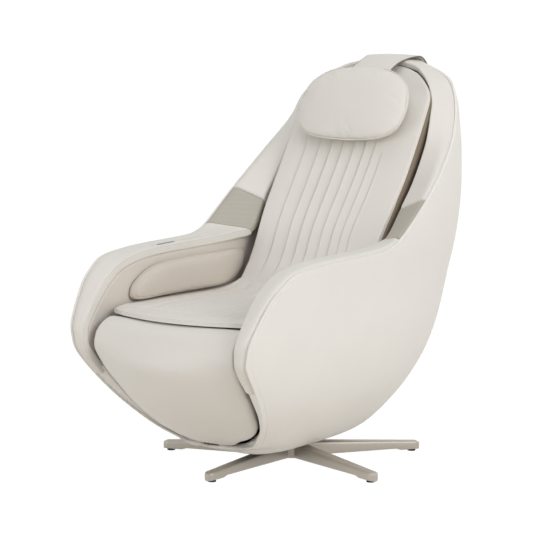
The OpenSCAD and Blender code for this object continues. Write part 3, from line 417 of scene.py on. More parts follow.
class Finish:
    """The nodes of a new material or world."""

    def __init__(self, name, kind="Material"):
        self.made = (bpy.data.materials if kind == "Material" else bpy.data.worlds).new(name)
        self.made.use_nodes = True
        self.tree = self.made.node_tree
        self.tree.nodes.clear()
        self.out = self.tree.nodes.new("ShaderNodeOutput" + kind)

    def add(self, kind, settings=None, values=None, out=0):
        """A node with its settings, its sockets' numbers or links, and the output that is asked for."""
        node = self.tree.nodes.new("ShaderNode" + kind)
        for key, v in (settings or {}).items():
            setattr(node, key, v)
        for key, v in (values or {}).items():
            if isinstance(v, Sock):
                self.tree.links.new(v.out, node.inputs[key])
            else:
                node.inputs[key].default_value = v
        return Sock(self.tree, node.outputs[out])

    def coords(self):
        """Object coordinates, the same on a piece wherever it is carried."""
        return self.add("TexCoord", out="Object")

    def split(self, vec):
        """The x, y and z of a vector."""
        node = self.tree.nodes.new("ShaderNodeSeparateXYZ")
        self.tree.links.new(vec.out, node.inputs[0])
        return [Sock(self.tree, node.outputs[i]) for i in range(3)]

    def noise(self, scale, detail, vec=None):
        """Cloudy noise from 0 to 1, scale of its features to a metre."""
        return self.add("TexNoise", None, {"Vector": vec or self.coords(), "Scale": scale, "Detail": detail})

    def cells(self, scale, feature="F1"):
        """Distance to the nearest of scattered points, or to the edge between two cells, scale of them to a metre."""
        return self.add("TexVoronoi", {"feature": feature}, {"Vector": self.coords(), "Scale": scale})

    def tint(self, factor, a, b):
        """Colour a where the factor is 0 and b where it is 1."""
        node = self.tree.nodes.new("ShaderNodeMix")
        node.data_type = "RGBA"
        for i, v in ((0, factor), (6, a), (7, b)):
            if isinstance(v, Sock):
                self.tree.links.new(v.out, node.inputs[i])
            else:
                node.inputs[i].default_value = v if i == 0 else (*v, 1)
        return Sock(self.tree, node.outputs[2])

    def bump(self, height, distance, strength):
        """A normal tilted as if the surface stood height times distance, in metres, proud."""
        return self.add("Bump", None, {"Height": height, "Distance": distance, "Strength": strength})

    def end(self, shader):
        """The shader goes to the output, and the material or world is given back."""
        self.tree.links.new(shader.out, self.out.inputs["Surface"])
        return self.made

    def done(self, color, roughness, normal, **fixed):
        """The Principled shader; numbers that are the same all over are set on its own sockets."""
        values = {"Base Color": color, "Roughness": roughness, "Normal": normal}
        values.update({key.replace("_", " "): v for key, v in fixed.items()})
        return self.end(self.add("BsdfPrincipled", None, values))


def linear(c):
    """A screen colour as the shader's linear one, by the sRGB curve."""
    return tuple((v / 12.92 if v <= 0.04045 else ((v + 0.055) / 1.055) ** 2.4) for v in c)


def darker(c, f):
    """The colour times f, and no part of it over 1."""
    return tuple(min(v * f, 1) for v in c)


def leather(name, color, stitched=False):
    """Fine-grained synthetic leather: pebbles under a millimetre, faint mottling, lightly sheened."""
    m = Finish(name)
    base = linear(color)
    mottle = m.noise(9.0, 4.0)
    fine = m.noise(60.0, 2.0)
    grain = m.cells(1300.0)
    pores = m.cells(520.0, feature="DISTANCE_TO_EDGE")
    tone = m.tint(mottle, darker(base, 0.965), darker(base, 1.02))
    color_out = m.tint((grain * 0.5 + fine * 0.5) * 0.10, tone, darker(base, 0.80))
    height = grain * 0.6 + pores * 0.8 + fine * 0.5
    rough = 0.40 + mottle * 0.10 + grain * 0.10
    if stitched:
        uv = m.add("UVMap", {"uv_map": "Cloth"})
        u, v, _ = m.split(uv)
        dash = ((v * 160.0) % 1.0).less(0.66)
        near = (abs(u + 0.0045)).less(0.0005)
        thread = dash * near
        color_out = m.tint(thread, color_out, darker(base, 0.72))
        height = height + thread * 2.0
    bump = m.bump(height, 0.00012, 0.55)
    return m.done(color_out, rough, bump, Specular_IOR_Level=0.42, Sheen_Weight=0.06, Sheen_Roughness=0.4)


def knitted(name, color):
    """Fine mesh fabric: rows of yarn 3 mm apart, level all over, with holes 1.3 mm apart along them."""
    m = Finish(name)
    base = linear(color)
    x, y, z = m.split(m.coords())
    row = (z * 2094.0).sin()
    stitch = ((x + y) * 4800.0).sin()
    hole = ((row * 0.8 + stitch * 0.2 + 1.0) * 0.5) ** 1.6
    mottle = m.noise(30.0, 3.0)
    # The holes are painted darker as the shade inside them; the mottle is the cloth's own tone.
    col = m.tint(hole * 0.55, m.tint(mottle, darker(base, 0.93), base), darker(base, 0.55))
    bump = m.bump(1.0 - hole, 0.0002, 0.6)
    return m.done(col, 0.72 + mottle * 0.12, bump, Specular_IOR_Level=0.25, Sheen_Weight=0.18, Sheen_Roughness=0.45)


def painted(name, color, metallic, rough):
    """Sprayed paint with a fine orange peel, and metal flake where it is metallic."""
    m = Finish(name)
    base = linear(color)
    peel = m.noise(312.0, 3.0)
    fleck = m.cells(2600.0)
    wear = m.noise(14.0, 4.0)
    col = m.tint(fleck * 0.16, m.tint(wear, darker(base, 0.94), base), darker(base, 0.78))
    return m.done(col, rough - 0.05 + wear * 0.12, m.bump(peel, 0.0001, 0.35), Metallic=metallic)


def bright_steel(name, color=(0.66, 0.66, 0.67)):
    """Ground steel with fine lines along its length and faint handling marks."""
    m = Finish(name)
    base = linear(color)
    vec = m.add("Mapping", None, {"Vector": m.coords(), "Scale": (40, 1400, 1400)})
    lines = m.noise(1.0, 4.0, vec)
    col = m.tint(m.noise(20.0, 3.0), darker(base, 0.9), base)
    return m.done(col, 0.22 + lines * 0.18, m.bump(lines, 0.00003, 0.4), Metallic=1.0)


def moulded(name, color, rough, gloss=0.0):
    """Injection-moulded plastic with a spark-eroded texture, or glossy where gloss is set."""
    m = Finish(name)
    base = linear(color)
    spark = m.noise(2200.0, 2.0)
    broad = m.noise(25.0, 3.0)
    col = m.tint(broad, darker(base, 0.9), base)
    bump = m.bump(spark, 0.00005, 0.3 * (1 - gloss))
    return m.done(col, rough - 0.04 + broad * 0.08, bump, Coat_Weight=gloss, Coat_Roughness=0.06)


def plywood(name):
    """Birch ply: long soft grain along the chair with plies at its edges."""
    m = Finish(name)
    vec = m.add("Mapping", None, {"Vector": m.coords(), "Scale": (60, 6, 900)})
    grain = m.noise(1.0, 5.0, vec)
    col = m.tint(grain, linear((0.72, 0.58, 0.42)), linear((0.84, 0.73, 0.57)))
    return m.done(col, 0.6 + grain * 0.1, m.bump(grain, 0.0002, 0.3))


# ---------------------------------------------------------------- upholstery forms

# Each table's first column is the place along the pad. Back: y, z, half width, share of the depth.
BACK = [
    [-1, 9, 425, 195, 1], [0, 30, 436, 196, 1], [1, 55, 462, 198, 1], [2, 81, 496, 199, 1], [3, 112, 560, 199, 1],
    [4, 143, 608, 200, 1], [5, 178, 656, 200, 1], [6, 217, 712, 200, 1], [7, 251, 757, 200, 1],
    [8, 283, 808, 200, 1], [9, 302, 849, 201, 0.9], [10, 318, 878, 196, 0.8], [11, 334, 901, 184, 0.72],
    [12, 352, 923, 161, 0.62], [13, 373, 942, 130, 0.5], [14, 391, 957, 92, 0.38], [15, 403, 967, 30, 0.28],
]
BACK_DEPTH = 45.0
# The mat's face y, z, its half width, and its rear y, z.
SEAT = [
    [0, -430, 410, 206, -430, 400], [1, -412, 414, 209, -410, 400], [2, -385, 416, 211, -385, 376],
    [3, -340, 416, 211, -345, 366], [4, -260, 417, 211, -260, 366], [5, -160, 416, 211, -160, 366],
    [6, -70, 415, 210, -65, 366], [7, -15, 418, 204, 0, 369], [8, 9, 425, 195, 34, 384],
    [9, 29.5, 435.5, 188, 61.5, 404.5], [10, 54, 461.5, 187, 86, 431],
]
LIP_BOW = 52.0
# Height, half width, y of the face at its sides and in its middle, share of the depth.
LEG = [
    [0, 397.5, 200, -440, -446, 0.32], [1, 396.5, 204, -462, -478, 0.5], [2, 385, 208, -484, -500, 0.58],
    [3, 364, 211, -501, -518, 0.56], [4, 332, 212, -507, -531, 0.54], [5, 298, 209, -490, -537, 0.62],
    [6, 260, 201, -463, -520, 0.85], [7, 215, 191, -424, -488, 1], [8, 180, 180, -392, -456, 1],
    [9, 148, 165, -360, -420, 0.9], [10, 122, 138, -338, -386, 0.7], [11, 106, 96, -330, -360, 0.45],
    [12, 100, 40, -336, -346, 0.24],
]
LEG_DEPTH = 42.0
# The strap's y, z, half width, and how far it falls 90 mm to the side.
STRAP = [
    [0, 318, 942, 62, 8], [1, 346, 961, 61, 8], [2, 378, 976, 61, 8], [3, 410, 986, 66, 7],
    [4, 437, 991, 74, 5], [5, 454, 991, 82, 4], [6, 466, 983, 88, 6], [7, 475, 970, 92, 7],
    [8, 482.5, 954, 95, 5.5], [9, 488, 938, 96, 4.5],
]
# Outlines in side view, y and z, of the side cushion and of the side panel's lower edge.
CUSHION = [
    [-352, 420], [-362, 436], [-346, 463], [-300, 490], [-247, 503], [-154, 508], [-31, 509], [60, 508],
    [92, 500], [106, 482], [98, 455], [64, 431], [18, 419], [-56, 416.5], [-140, 416.5], [-214, 416.5],
    [-280, 416.5], [-325, 416],
]
CUSHION_MID = np.array([-125.0, 462.0])
CUSHION_SEAM = 9.0
PANEL_FACE = 221.6
# The pillow's right half on its own plane: across, up.
PILLOW = [
    [0, -105], [54, -103], [101, -96], [133, -83], [155, -57], [163, -22], [161, 15], [151, 46],
    [130, 69], [97, 88], [55, 98], [0, 102],
]
PANEL_LOW = [
    [330, 796], [352, 775], [378, 700], [364, 560], [312, 430], [200, 312], [-100, 240], [-380, 246], [-434, 264],
]
# Sewn seams of the back and seat: place across, how deep beside the others, and where it ends on the back.
SEAMS = [
    [-178, 0.0, 9], [-143, 0.7, 9.5], [-98, 1, 9.5], [-61, 1, 9.2], [-25, 1, 8.9], [10, 1, 8.6], [45, 0.9, 8.1],
    [75, 0.7, 7.6], [103, 0.55, 7.0], [138, 0.0, 6],
]


def runs(a, b, n, tip):
    """Steps from a to b, even but for six closer ones within tip of each end."""
    close = tip * (np.arange(6) / 6) ** 1.6
    return np.concatenate([a + close, np.linspace(a + tip, b - tip, n), (b - close)[::-1]])


def ease(x):
    """0 to 1 with level ends: x^2 (3 - 2x)."""
    x = np.clip(x, 0, 1)
    return x * x * (3 - 2 * x)


def valley(x, wide, deep):
    """A sewn seam along x = 0: -deep e^(-(x / wide)^2)."""
    return -deep * np.exp(-((x / wide) ** 2))


def channels(x, s, deep):
    """Lapped pleats: from each seam the cloth rises within a sixth of the pleat, then falls slowly to the next seam."""
    t = np.array(SEAMS, float)
    i = np.clip(np.searchsorted(t[:, 0], x, side="right") - 1, 0, len(t) - 2)
    u = np.clip((x - t[i, 0]) / (t[i + 1, 0] - t[i, 0]), 0, 1)
    here, after = (t[k, 1] * ease((t[k, 2] - s) / 0.7) for k in (i, i + 1))
    crest = 1 - (1 - ease(u / 0.16)) * here
    fall = 0.66 * u**1.6 * after
    roll = deep * (crest * (1 - fall) - 1 + 0.14 * here * np.exp(-(((u - 0.2) / 0.1) ** 2)))
    return np.where((x < t[0, 0]) | (x > t[-1, 0]), 0.0, roll)


def side_normal(rows, s, ky, kz, step=0.3):
    """Square to a row curve in side view, turned a quarter to the left of its run."""
    dy, dz = (along(rows, s + step, k) - along(rows, s - step, k) for k in (ky, kz))
    t = unit(points(0, dy, dz))
    return points(0, -t[..., 2], t[..., 1])


def rounded_end(s, a, b, tip):
    """How much of a pad's depth is left near its ends, so that they are round: a quarter circle over tip."""
    d = np.clip(np.minimum(s - a, b - s) / tip, 0.02, 1)
    return np.sqrt(1 - (1 - d) ** 2)


def pad_uv(s_len, x):
    """Cloth coordinates in metres: across, along."""
    return np.stack(np.broadcast_arrays(x * 0.001, s_len[:, None] * 0.001), -1)


UNSEWN = 50.0  # a cloth coordinate across, in mm, where no stitch is drawn


def edge_uv(from_seam, rings, line):
    """Cloth coordinates: on a ring's first points the distance from the seam, and unsewn on its others; along
    the line's length."""
    blank = np.full((len(rings), rings.shape[1] - from_seam.shape[1]), UNSEWN)
    return pad_uv(length_along(line), np.concatenate([from_seam, blank], 1))


def length_along(p):
    """Distance along a path of points, from its start."""
    return np.concatenate([[0], np.cumsum(np.linalg.norm(np.diff(p, axis=0), axis=1))])


def across(c, x):
    """A side-view line c[n, 3] carried sideways to x[n, m]."""
    p = np.broadcast_to(c[:, None], (*x.shape, 3)).copy()
    p[..., 0] = x
    return p


MIDDLE_DRAW = 0.024


def pad_draw(s):
    """Share of the back pad's width that its face keeps: a little less in its middle, 13 mm less a side at
    the waist, eased in and out."""
    middle = MIDDLE_DRAW * ease((s - 1.5) / 1.5) * ease((10.5 - s) / 2.5)
    return 1 - middle - 0.062 * ease((6.0 - s) / 4.6) * ease((s + 2.5) / 3)


def pad_proud(s):
    """How far the back pad's face stands in front of its table, fullest behind the shoulders."""
    return 7.0 * ease((s - 5.6) / 2) * ease((11.5 - s) / 2.5)


def back_pad_rings(deep, n=150, front=161):
    """The back pad: its side-view curve carried across, with pleats and a slight crown on the face and a flat
    back square to the curve."""
    s = runs(-0.12, 15, n, 0.35)
    c = points(0, along(BACK, s, 1), along(BACK, s, 2))
    nrm = side_normal(BACK, s, 1, 2)
    w, thick = along(BACK, s, 3), BACK_DEPTH * along(BACK, s, 4)
    proud, draw = pad_proud(s), pad_draw(s)

    def top(x):
        # The pleats start at the pad's foot; the crown is flat but for 1.5 mm at the sides.
        h = channels(x, s[:, None], deep) * ease((s - 0.2) / 1.8)[:, None]
        x = x * draw[:, None]
        swell = proud[:, None] - 1.5 * (x / 200) ** 4
        return across(c, x) + nrm[:, None] * (h + swell)[..., None]

    def rear(x):
        return across(c - nrm * thick[:, None], x * 0.985)

    rings = slab(w, top, rear, section(front, 5), np.minimum(7.0, thick * 0.45))
    return rings, pad_uv(length_along(c), rings[..., 0])


def back_edge(depth, out, drawn=True):
    """A line along the back pad's right edge: depth behind its face, out beside it (or beside its full width)."""
    s = np.linspace(1.6, 13.6, 120)
    wide = along(BACK, s, 3) * (pad_draw(s) if drawn else 1 - MIDDLE_DRAW)
    line = points(wide + out, along(BACK, s, 1), along(BACK, s, 2))
    return line + side_normal(BACK, s, 1, 2) * (pad_proud(s) - 1.4 - depth)[:, None]


def seat_mat_rings(deep, n=120, front=161):
    """The seat mat: its side-view curve carried across, bowed forward at its lip by a parabola, with a piped
    seam under the lip and rolls |sin|^0.8 between the sewn lines."""
    s = runs(0, 9, n, 0.12)
    row = s[:, None]
    bow = LIP_BOW * np.maximum(0, 1 - s / 2.6) ** 1.5
    w = along(SEAT, s, 3)
    thick = along(SEAT, s, 2) - along(SEAT, s, 5)
    lines = np.array([line[0] for line in SEAMS] + [174.0])

    def face(x, ky, kz, h):
        y = along(SEAT, s, ky)[:, None] - bow[:, None] * (1 - (x / w[:, None]) ** 2)
        return points(x, y, along(SEAT, s, kz)[:, None] + h)

    def top(x):
        # The rolls start in scallops behind the lip, are deepest there and fade out under the back.
        welt = valley((row - 0.5) * 18.0, 1.6, 1.3)
        k = np.abs(np.sin(np.pi * np.interp(x, lines, np.arange(len(lines)))))
        start = ease((row - 0.9 - 0.55 * (1 - k)) / 0.5) * ((x > lines[0]) & (x < lines[-1]))
        fade = (0.35 + 0.65 * ease((4.5 - row) / 3.5)) * ease((9 - row) * 0.8)
        puff = 1.1 * deep * (k**0.8 - 1) * start * fade
        return face(x, 1, 2, puff + welt - 0.5 * ease((row - 8.8) / 0.15))

    def rear(x):
        return face(x, 4, 5, 0.0)

    rings = slab(w, top, rear, section(front, 5), np.minimum(7.0, thick * 0.45))
    return rings, pad_uv(length_along(points(0, along(SEAT, s, 1), along(SEAT, s, 2))), rings[..., 0])


def leg_pad_rings(n=90, front=61):
    """The leg rest: at each height a face bowed by a parabola between its sides and its middle, and a flat back."""
    s = runs(0, 12, n, 0.3)
    z, w = along(LEG, s, 1), along(LEG, s, 2)
    edge_y, mid_y = along(LEG, s, 3), along(LEG, s, 4)
    thick = LEG_DEPTH * along(LEG, s, 5)
    back = points(0, edge_y, z) + side_normal(LEG, s, 3, 1) * thick[:, None]

    def top(x):
        u = np.clip(x / w[:, None], -1, 1)
        return points(x, mid_y[:, None] + (edge_y - mid_y)[:, None] * u * u, z[:, None])

    def rear(x):
        return across(back, x * 0.96)

    rings = slab(w, top, rear, section(front, 6), np.minimum(11.0, thick * 0.45))
    return rings, pad_uv(length_along(points(0, mid_y, z)), rings[..., 0])


def strap_line(s):
    """The strap's middle line in side view, its normals, its half width and its fall at the sides."""
    c = points(0, along(STRAP, s, 1), along(STRAP, s, 2))
    return c, side_normal(STRAP, s, 1, 2), along(STRAP, s, 3), along(STRAP, s, 4)


def strap_rings(n=70):
    """The strap: its middle line carried across, falling with the square of the distance, and a seam near
    each edge."""
    c, nrm, w, drop = strap_line(np.linspace(0, 9, n))
    seam_in, thick = 7, 4.0

    def level(x, below):
        p = c[:, None] - nrm[:, None] * (drop[:, None] * (x / 90) ** 2 + below)[..., None]
        return points(x, p[..., 1], p[..., 2])

    def top(x):
        return level(x, valley(np.abs(x) - w[:, None] + seam_in, 1.6, -0.6))

    def rear(x):
        return level(x, thick)

    rings = slab(w, top, rear, section(41, 3), np.full(n, 1.9))
    return rings, pad_uv(length_along(c), np.abs(rings[..., 0]) - w[:, None] + seam_in)


def strap_edge():
    """The strap's right edge, half way through its thickness."""
    c, nrm, w, drop = strap_line(np.linspace(0, 9, 90))
    c[:, 0] = w
    return c - nrm * (drop * (w / 90) ** 2 + 2.0)[:, None]


def shell_rings(n=190):
    """Ribs of the shell from its foot to its crown. Each runs at even lengths, closer beside the rim, over the
    outer face from the rim to the centre line, back inside the wall and round the lip."""
    foot = np.array([50.0, 56, 62, 68, 75])
    hem_in, hem_at = 27.0, 13.0
    s = np.linspace(0, RIM_END - 0.05, n)
    a0 = np.concatenate([np.zeros(len(foot)), np.arccos(-rim_r(s))])[:, None]
    z0, z1 = (np.concatenate([foot, along(RIM, s, k)])[:, None] for k in (2, 3))
    fine = np.linspace(0, 1, 400)
    rib = egg(-np.cos(a0 + (np.pi - a0) * fine), z0 + (z1 - z0) * fine)
    step = np.linalg.norm(np.diff(rib, axis=1), axis=-1)
    run = np.concatenate([np.zeros((len(a0), 1)), np.cumsum(step, 1)], 1)
    total = run[:, -1:]
    near = np.linspace(0, 1, 19) * np.minimum(hem_in, total * 0.3)
    rest = np.linspace(0, 1, 76)[1:] * (total - near[:, -1:]) + near[:, -1:]
    want = np.concatenate([near, rest], 1)
    u = np.stack([np.interp(w, r, fine) for w, r in zip(want, run)])
    r, z = -np.cos(a0 + (np.pi - a0) * u), z0 + (z1 - z0) * u
    outer, inner = egg(r, z), egg(r, z, SHELL_WALL)
    has_rim = (np.arange(len(z)) >= len(foot))[:, None]
    hem = valley(want - hem_at, 1.5, 1.1) * has_rim * ease(total / 40)
    seam = valley(total - want, 1.6, 1.6) * ease(total / 30)
    outer = outer + unit(outer - inner) * (hem + seam)[..., None]
    # The lip is half an ellipse round the wall's edge; the inside takes every third point.
    out = unit(outer[:, :1] - outer[:, 1:2])
    turn = np.linspace(0, np.pi, 7)[1:-1][None, :, None]
    mid, half = (outer[:, :1] + inner[:, :1]) / 2, (outer[:, :1] - inner[:, :1]) / 2
    lip = mid - half * np.cos(turn) + out * (2.6 * np.sin(turn))
    rings = np.concatenate([outer, inner[:, ::-3][:, :-1], inner[:, :1], lip], 1)
    return rings, edge_uv(want - hem_at, rings, rings[:, 0])


def band_rings(s0, s1, n, depth, crown, seam=5.5, seam_deep=1.3, edge_tip=0.10, corner=6.0):
    """Padding along the rim: flat across, an elliptic edge beside the shell and a round corner of the given
    radius into the side that faces the seat, with a sewn seam where the corner starts."""
    s = runs(s0, s1, n, edge_tip)
    o = pad_edge(s)
    i = inner_at(s - 0.22 * np.exp(-(((s - GRILLE_END) / 0.9) ** 2)))
    d = rim_turn(s)
    wide = np.linalg.norm(i - o, axis=-1)[:, None]
    outer_half = (1 - np.cos(np.linspace(0, np.pi / 2, 22))) / 2
    u = np.concatenate([outer_half, 0.5 + 0.5 * np.sin(np.linspace(0, np.pi / 2, 32))[1:]])
    from_outer, from_inner = u[None] * wide, (1 - u)[None] * wide
    # Height over the flat: an ellipse beside the shell, a quarter circle at the inner corner, lower on the arm.
    r = np.minimum(corner, wide * 0.45)
    rise = (1 - (1 - np.clip(from_outer / np.minimum(24, wide * 0.5), 0, 1)) ** 2) ** (1 / 1.5)
    drop = r - np.sqrt(np.maximum(r**2 - np.clip(r - from_inner, 0, None) ** 2, 0))
    low_crown = crown * (1 - 0.12 * ease((s - 8.8) / 0.8) * ease((13.3 - s) / 0.8))[:, None]
    h = (low_crown * rise - drop) * rounded_end(s, s0, s1, edge_tip)[:, None]
    h = h + valley(from_inner - seam, 1.6, seam_deep) + valley(from_outer - 4, 1.4, 1.8)
    top = o[:, None] + (i - o)[:, None] * u[None, :, None] - d[:, None] * h[..., None]
    # The underside runs from the inner side's foot out to the shell, thinner towards the crown.
    k = np.clip((s - 15) / 5, 0, 1)[:, None]
    v = np.linspace(1, 0, 9)[None]
    foot, out_deep, in_deep = 0.06 + 0.14 * k, depth + (4 - depth) * k, depth / 2 + (6 - depth / 2) * k
    share = foot + (1 - foot) * v
    down = out_deep * (1 - v) + in_deep * v
    low = o[:, None] + (i - o)[:, None] * share[..., None] + d[:, None] * down[..., None]
    wall = i[:, None] + d[:, None] * (np.array([[0.45, 0.72]]) * in_deep)[..., None]
    start = (o[:, None] + low[:, -1:]) / 2
    rings = np.concatenate([top, wall, low, start], 1)
    return rings, edge_uv(from_inner - seam, rings, i)


# The inner line of the shell's lip beside the leg rest, by place along the rim: x, z.
HEM = [
    [0, 10, 96], [0.4, 48, 97], [0.8, 78, 101], [1.1, 99, 107], [1.4, 118, 113], [1.7, 132, 119], [2, 143, 127],
    [2.5, 168, 151], [3, 187, 185], [3.5, 199, 224], [4, 208, 264], [4.3, 210, 285],
]


def hem_rings(n=80, thick=8.0):
    """The shell's inner lip beside the leg rest: a strip from the rim to its own inner line, whose edge turns
    away in a quarter ellipse, with a seam 5 mm in from the rim."""
    s = np.linspace(0.12, 4.15, n)
    turn = 5.0
    o, d = rim_at(s, 5.5), rim_turn(s)
    i = points(along(HEM, s, 1), o[:, 1] + 2 + 5 * ease((1.4 - s) / 0.6), along(HEM, s, 2))
    i[:, 0] = np.minimum(i[:, 0], o[:, 0] - 3)
    way, wide = unit(i - o), np.linalg.norm(i - o, axis=-1)[:, None]
    run = np.linspace(0, 1, 14)[None] * wide
    bend = np.clip((run - wide + turn) / turn, 0, 1)
    sink = 0.6 + 7.0 * (1 - np.sqrt(1 - bend**2)) - valley(run - turn, 1.4, 0.9)
    face = o[:, None] + way[:, None] * run[..., None] + d[:, None] * sink[..., None]
    return np.concatenate([face, face[:, ::-1] + d[:, None] * thick], 1)


def cushion_rings(deep):
    """A side cushion: for th from edge to middle its outline is drawn in to cos(th)^(2/5.5) and stands
    sin(th)^(2/2.8) of its depth over the panel, with a seam along its edge; behind it falls off."""
    line = closed_outline(CUSHION, 8)
    th = np.concatenate([np.linspace(0, 0.5, 14), np.linspace(0.5, np.pi / 2, 28)[1:-1]])[:, None]
    c, h = np.cos(th) ** (2 / 5.5), np.sin(th) ** (2 / 2.8)
    from_edge = (1 - c) * np.linalg.norm(line - CUSHION_MID, axis=1)
    p = CUSHION_MID + (line - CUSHION_MID)[None] * c[..., None]

    def fall(y):
        # The share of the depth that is left: all of it up to 40 mm ahead of the axis, then less in a straight line.
        return np.clip(1 - (y + 40) / 190, 0.3, 1)

    high = (deep * h + valley(from_edge - CUSHION_SEAM, 1.3, 1.4)) * fall(p[..., 0])
    y, z = (CUSHION_MID + (line - CUSHION_MID) * [0.97, 0.94]).T
    rings = np.concatenate([points(PANEL_FACE, y, z)[None], points(PANEL_FACE - high, p[..., 0], p[..., 1])], 0)
    face = points(PANEL_FACE - deep * fall(CUSHION_MID[0]), *CUSHION_MID)
    return rings, face, points(PANEL_FACE, *CUSHION_MID)


def cushion_seam(p):
    """Depth of a side cushion's seam: a valley on its face inside its outline, and what has swelled past the
    panel's face drawn back to it."""
    near = np.full(len(p), 1e9)
    for y, z in closed_outline(CUSHION, 24):
        near = np.minimum(near, np.hypot(p[:, 1] - y, p[:, 2] - z))
    out = np.abs(p[:, 0])
    return valley(near - CUSHION_SEAM, 1.7, 1.5) * (out < 214) - np.maximum(out - 222, 0)


def pillow_rings(thick=60.0):
    """The head pillow: for th from behind to before, its outline on a leaning plane is drawn in to cos(th)^(2/3.2)
    and stands sin(th)^(2/2.9) of a third of its depth in front of the plane and sin(th) of the rest behind it."""
    half = np.array(PILLOW, float)
    other = half[1:-1][::-1] * np.array([-1, 1])
    line = closed_outline(np.concatenate([half, other]), 6)
    low, high = np.array([232.0, 790.0]), np.array([318.0, 958.0])
    lean = unit(high - low)
    out = np.array([-lean[1], lean[0]])
    mid = (low + high) / 2 + out * 6.0 - lean * 4.0
    ahead, behind, last = 0.34 * thick, 0.66 * thick, 1.25
    th = np.linspace(-last, np.pi / 2 - 0.06, 56)[:, None]
    rise = np.abs(np.sin(th))
    lift = np.where(th > 0, ahead * rise ** (2 / 2.9), -behind * rise)
    hem = valley(th + 0.04, 0.03, 1.6)
    q = line[None] * (np.cos(th) ** (2 / 3.2) + hem / 100)[..., None]
    # A shallow fold curves across the face near its lower edge.
    h = lift + valley(q[..., 1] + 84 - 10 * (q[..., 0] / 150) ** 2, 2.4, 0.6) * (th > 0.2)

    def at(across, up, before):
        return points(across, *(mid[k] + lean[k] * up + out[k] * before for k in (0, 1)))

    return at(q[..., 0], q[..., 1], h), at(0, 0, ahead), at(0, 0, -behind * math.sin(last))


def pillow_edge():
    """The pillow's piping: its widest ring, where front and back meet, drawn in 1.6 % and open under the strap."""
    rings, _, _ = pillow_rings()
    reach = np.linalg.norm(rings - rings.mean((0, 1)), axis=-1).mean(1)
    line = rings[int(np.argmax(reach))]
    line = line.mean(0) + (line - line.mean(0)) * 0.984
    keep = (np.abs(line[:, 0]) > 56) | (line[:, 2] < line[:, 2].mean())
    first = int(np.flatnonzero(keep & ~np.roll(keep, 1))[0])
    return np.roll(line, -first, axis=0)[: keep.sum()]


def panel_rings():
    """An inner side panel: a flat patch ruled from under the arm padding down to its own lower edge."""
    face, rear = 223.2, 229.0
    s = np.linspace(4.2, 17.8, 90)
    o, i, d = pad_edge(s), inner_at(s), rim_turn(s)
    f = np.clip((226 - i[:, 0]) / (o[:, 0] - i[:, 0]), 0, 1)[:, None]
    upper = (i + (o - i) * f + d * (22 * (0.5 + 0.5 * f) - 3.0))[:, 1:]
    low = np.array(PANEL_LOW, float)[::-1]
    run, t = length_along(low), length_along(upper)
    t = t / t[-1] * run[-1]
    lower = np.stack([np.interp(t, run, low[:, 0]), np.interp(t, run, low[:, 1])], -1)
    v = np.linspace(0, 1, 24)[None, :, None]
    y, z = np.moveaxis(upper[:, None] * (1 - v) + lower[:, None] * v, -1, 0)
    return np.concatenate([points(face, y, z), points(rear, y[:, ::-1], z[:, ::-1])], 1)


def star_rings(angle):
    """A leg of the star base: a section |x|^5 + |z|^5 = 1 carried out from the hub, tapering in a straight line,
    round at its tip in plan, sloping there on top and stepped down to its glide."""
    root, straight, reach = 16.0, 300.0, 340.0
    wide_root, wide_tip, high_root, high_tip = 36.0, 26.0, 45.5, 25.0
    tip = np.sin(np.linspace(0, np.pi / 2, 12))[1:]
    r = np.concatenate([np.linspace(root, straight, 24), straight + (reach - straight) * tip])
    k = np.clip((r - root) / (reach - wide_tip / 4 - root), 0, 1)
    bend = np.clip((r - reach + wide_tip / 2) / (wide_tip / 2), 0, 1)
    wide = (wide_root + (wide_tip - wide_root) * k) / 2 * np.sqrt(np.clip(1 - bend**2, 0.004, 1))
    low = np.where(r > 280, 8.0 - 4.0 * ease((r - 280) / 8), 6.5 + 1.5 * r / 280)
    high = high_root + (high_tip - high_root) * k - 4.0 * ease((r - 326) / 14) ** 3
    th = np.linspace(0, 2 * np.pi, 32, endpoint=False)
    cx, cz = (np.sign(v) * np.abs(v) ** (2 / 5) for v in (np.cos(th), np.sin(th)))
    c, sn = math.cos(angle), math.sin(angle)
    side = wide[:, None] * cx[None]
    z = ((high + low) / 2)[:, None] + ((high - low) / 2)[:, None] * cz[None]
    return points(r[:, None] * c - side * sn, r[:, None] * sn + side * c, z)


def hub_rings():
    """The hub: its profile of radius and height carried round the swivel axis."""
    prof = np.array([[21, 8], [36, 8], [39, 9], [40, 12], [40, 38], [39, 42], [36, 45], [32, 46], [21, 46]], float)
    th = np.linspace(0, 2 * np.pi, 72, endpoint=False)[:, None]
    r, z = prof.T
    return points(r * np.cos(th), r * np.sin(th), z)


# ---------------------------------------------------------------- settings


def colour(name, words, value):
    """A colour in the panel, its parts from 0 to 1."""
    return bpy.props.FloatVectorProperty(
        name=name, description=words, subtype="COLOR", size=3, min=0, max=1, default=value
    )


def size(name, words, value, low, high):
    """A length in metres in the panel, between low and high."""
    return bpy.props.FloatProperty(
        name=name, description=words, unit="LENGTH", subtype="DISTANCE", default=value, min=low, max=high
    )


class ChairColours(bpy.types.PropertyGroup):
    """Colours of the chair's finishes, as seen on a screen."""

    leather: colour("Leather", "Pads, arms, wings, pillow and leg rest", (0.880, 0.865, 0.840))
    shell: colour("Outer leather", "Outside of the egg", (0.905, 0.893, 0.874))
    # Painted shade: the panel is the ivory leather made darker for the shade in the hollow under the arms.
    panel: colour("Panel, painted shade", "Inner sides under the arms", (0.845, 0.815, 0.780))
    # Painted shade: the side cushions are the ivory leather made darker for the shade between the arms.
    cushion: colour("Cushion, painted shade", "Side air cushions", (0.810, 0.775, 0.735))
    mesh: colour("Speaker cloth", "Grilles in the wings", (0.755, 0.735, 0.690))
    base: colour("Base paint", "Star base", (0.715, 0.686, 0.645))


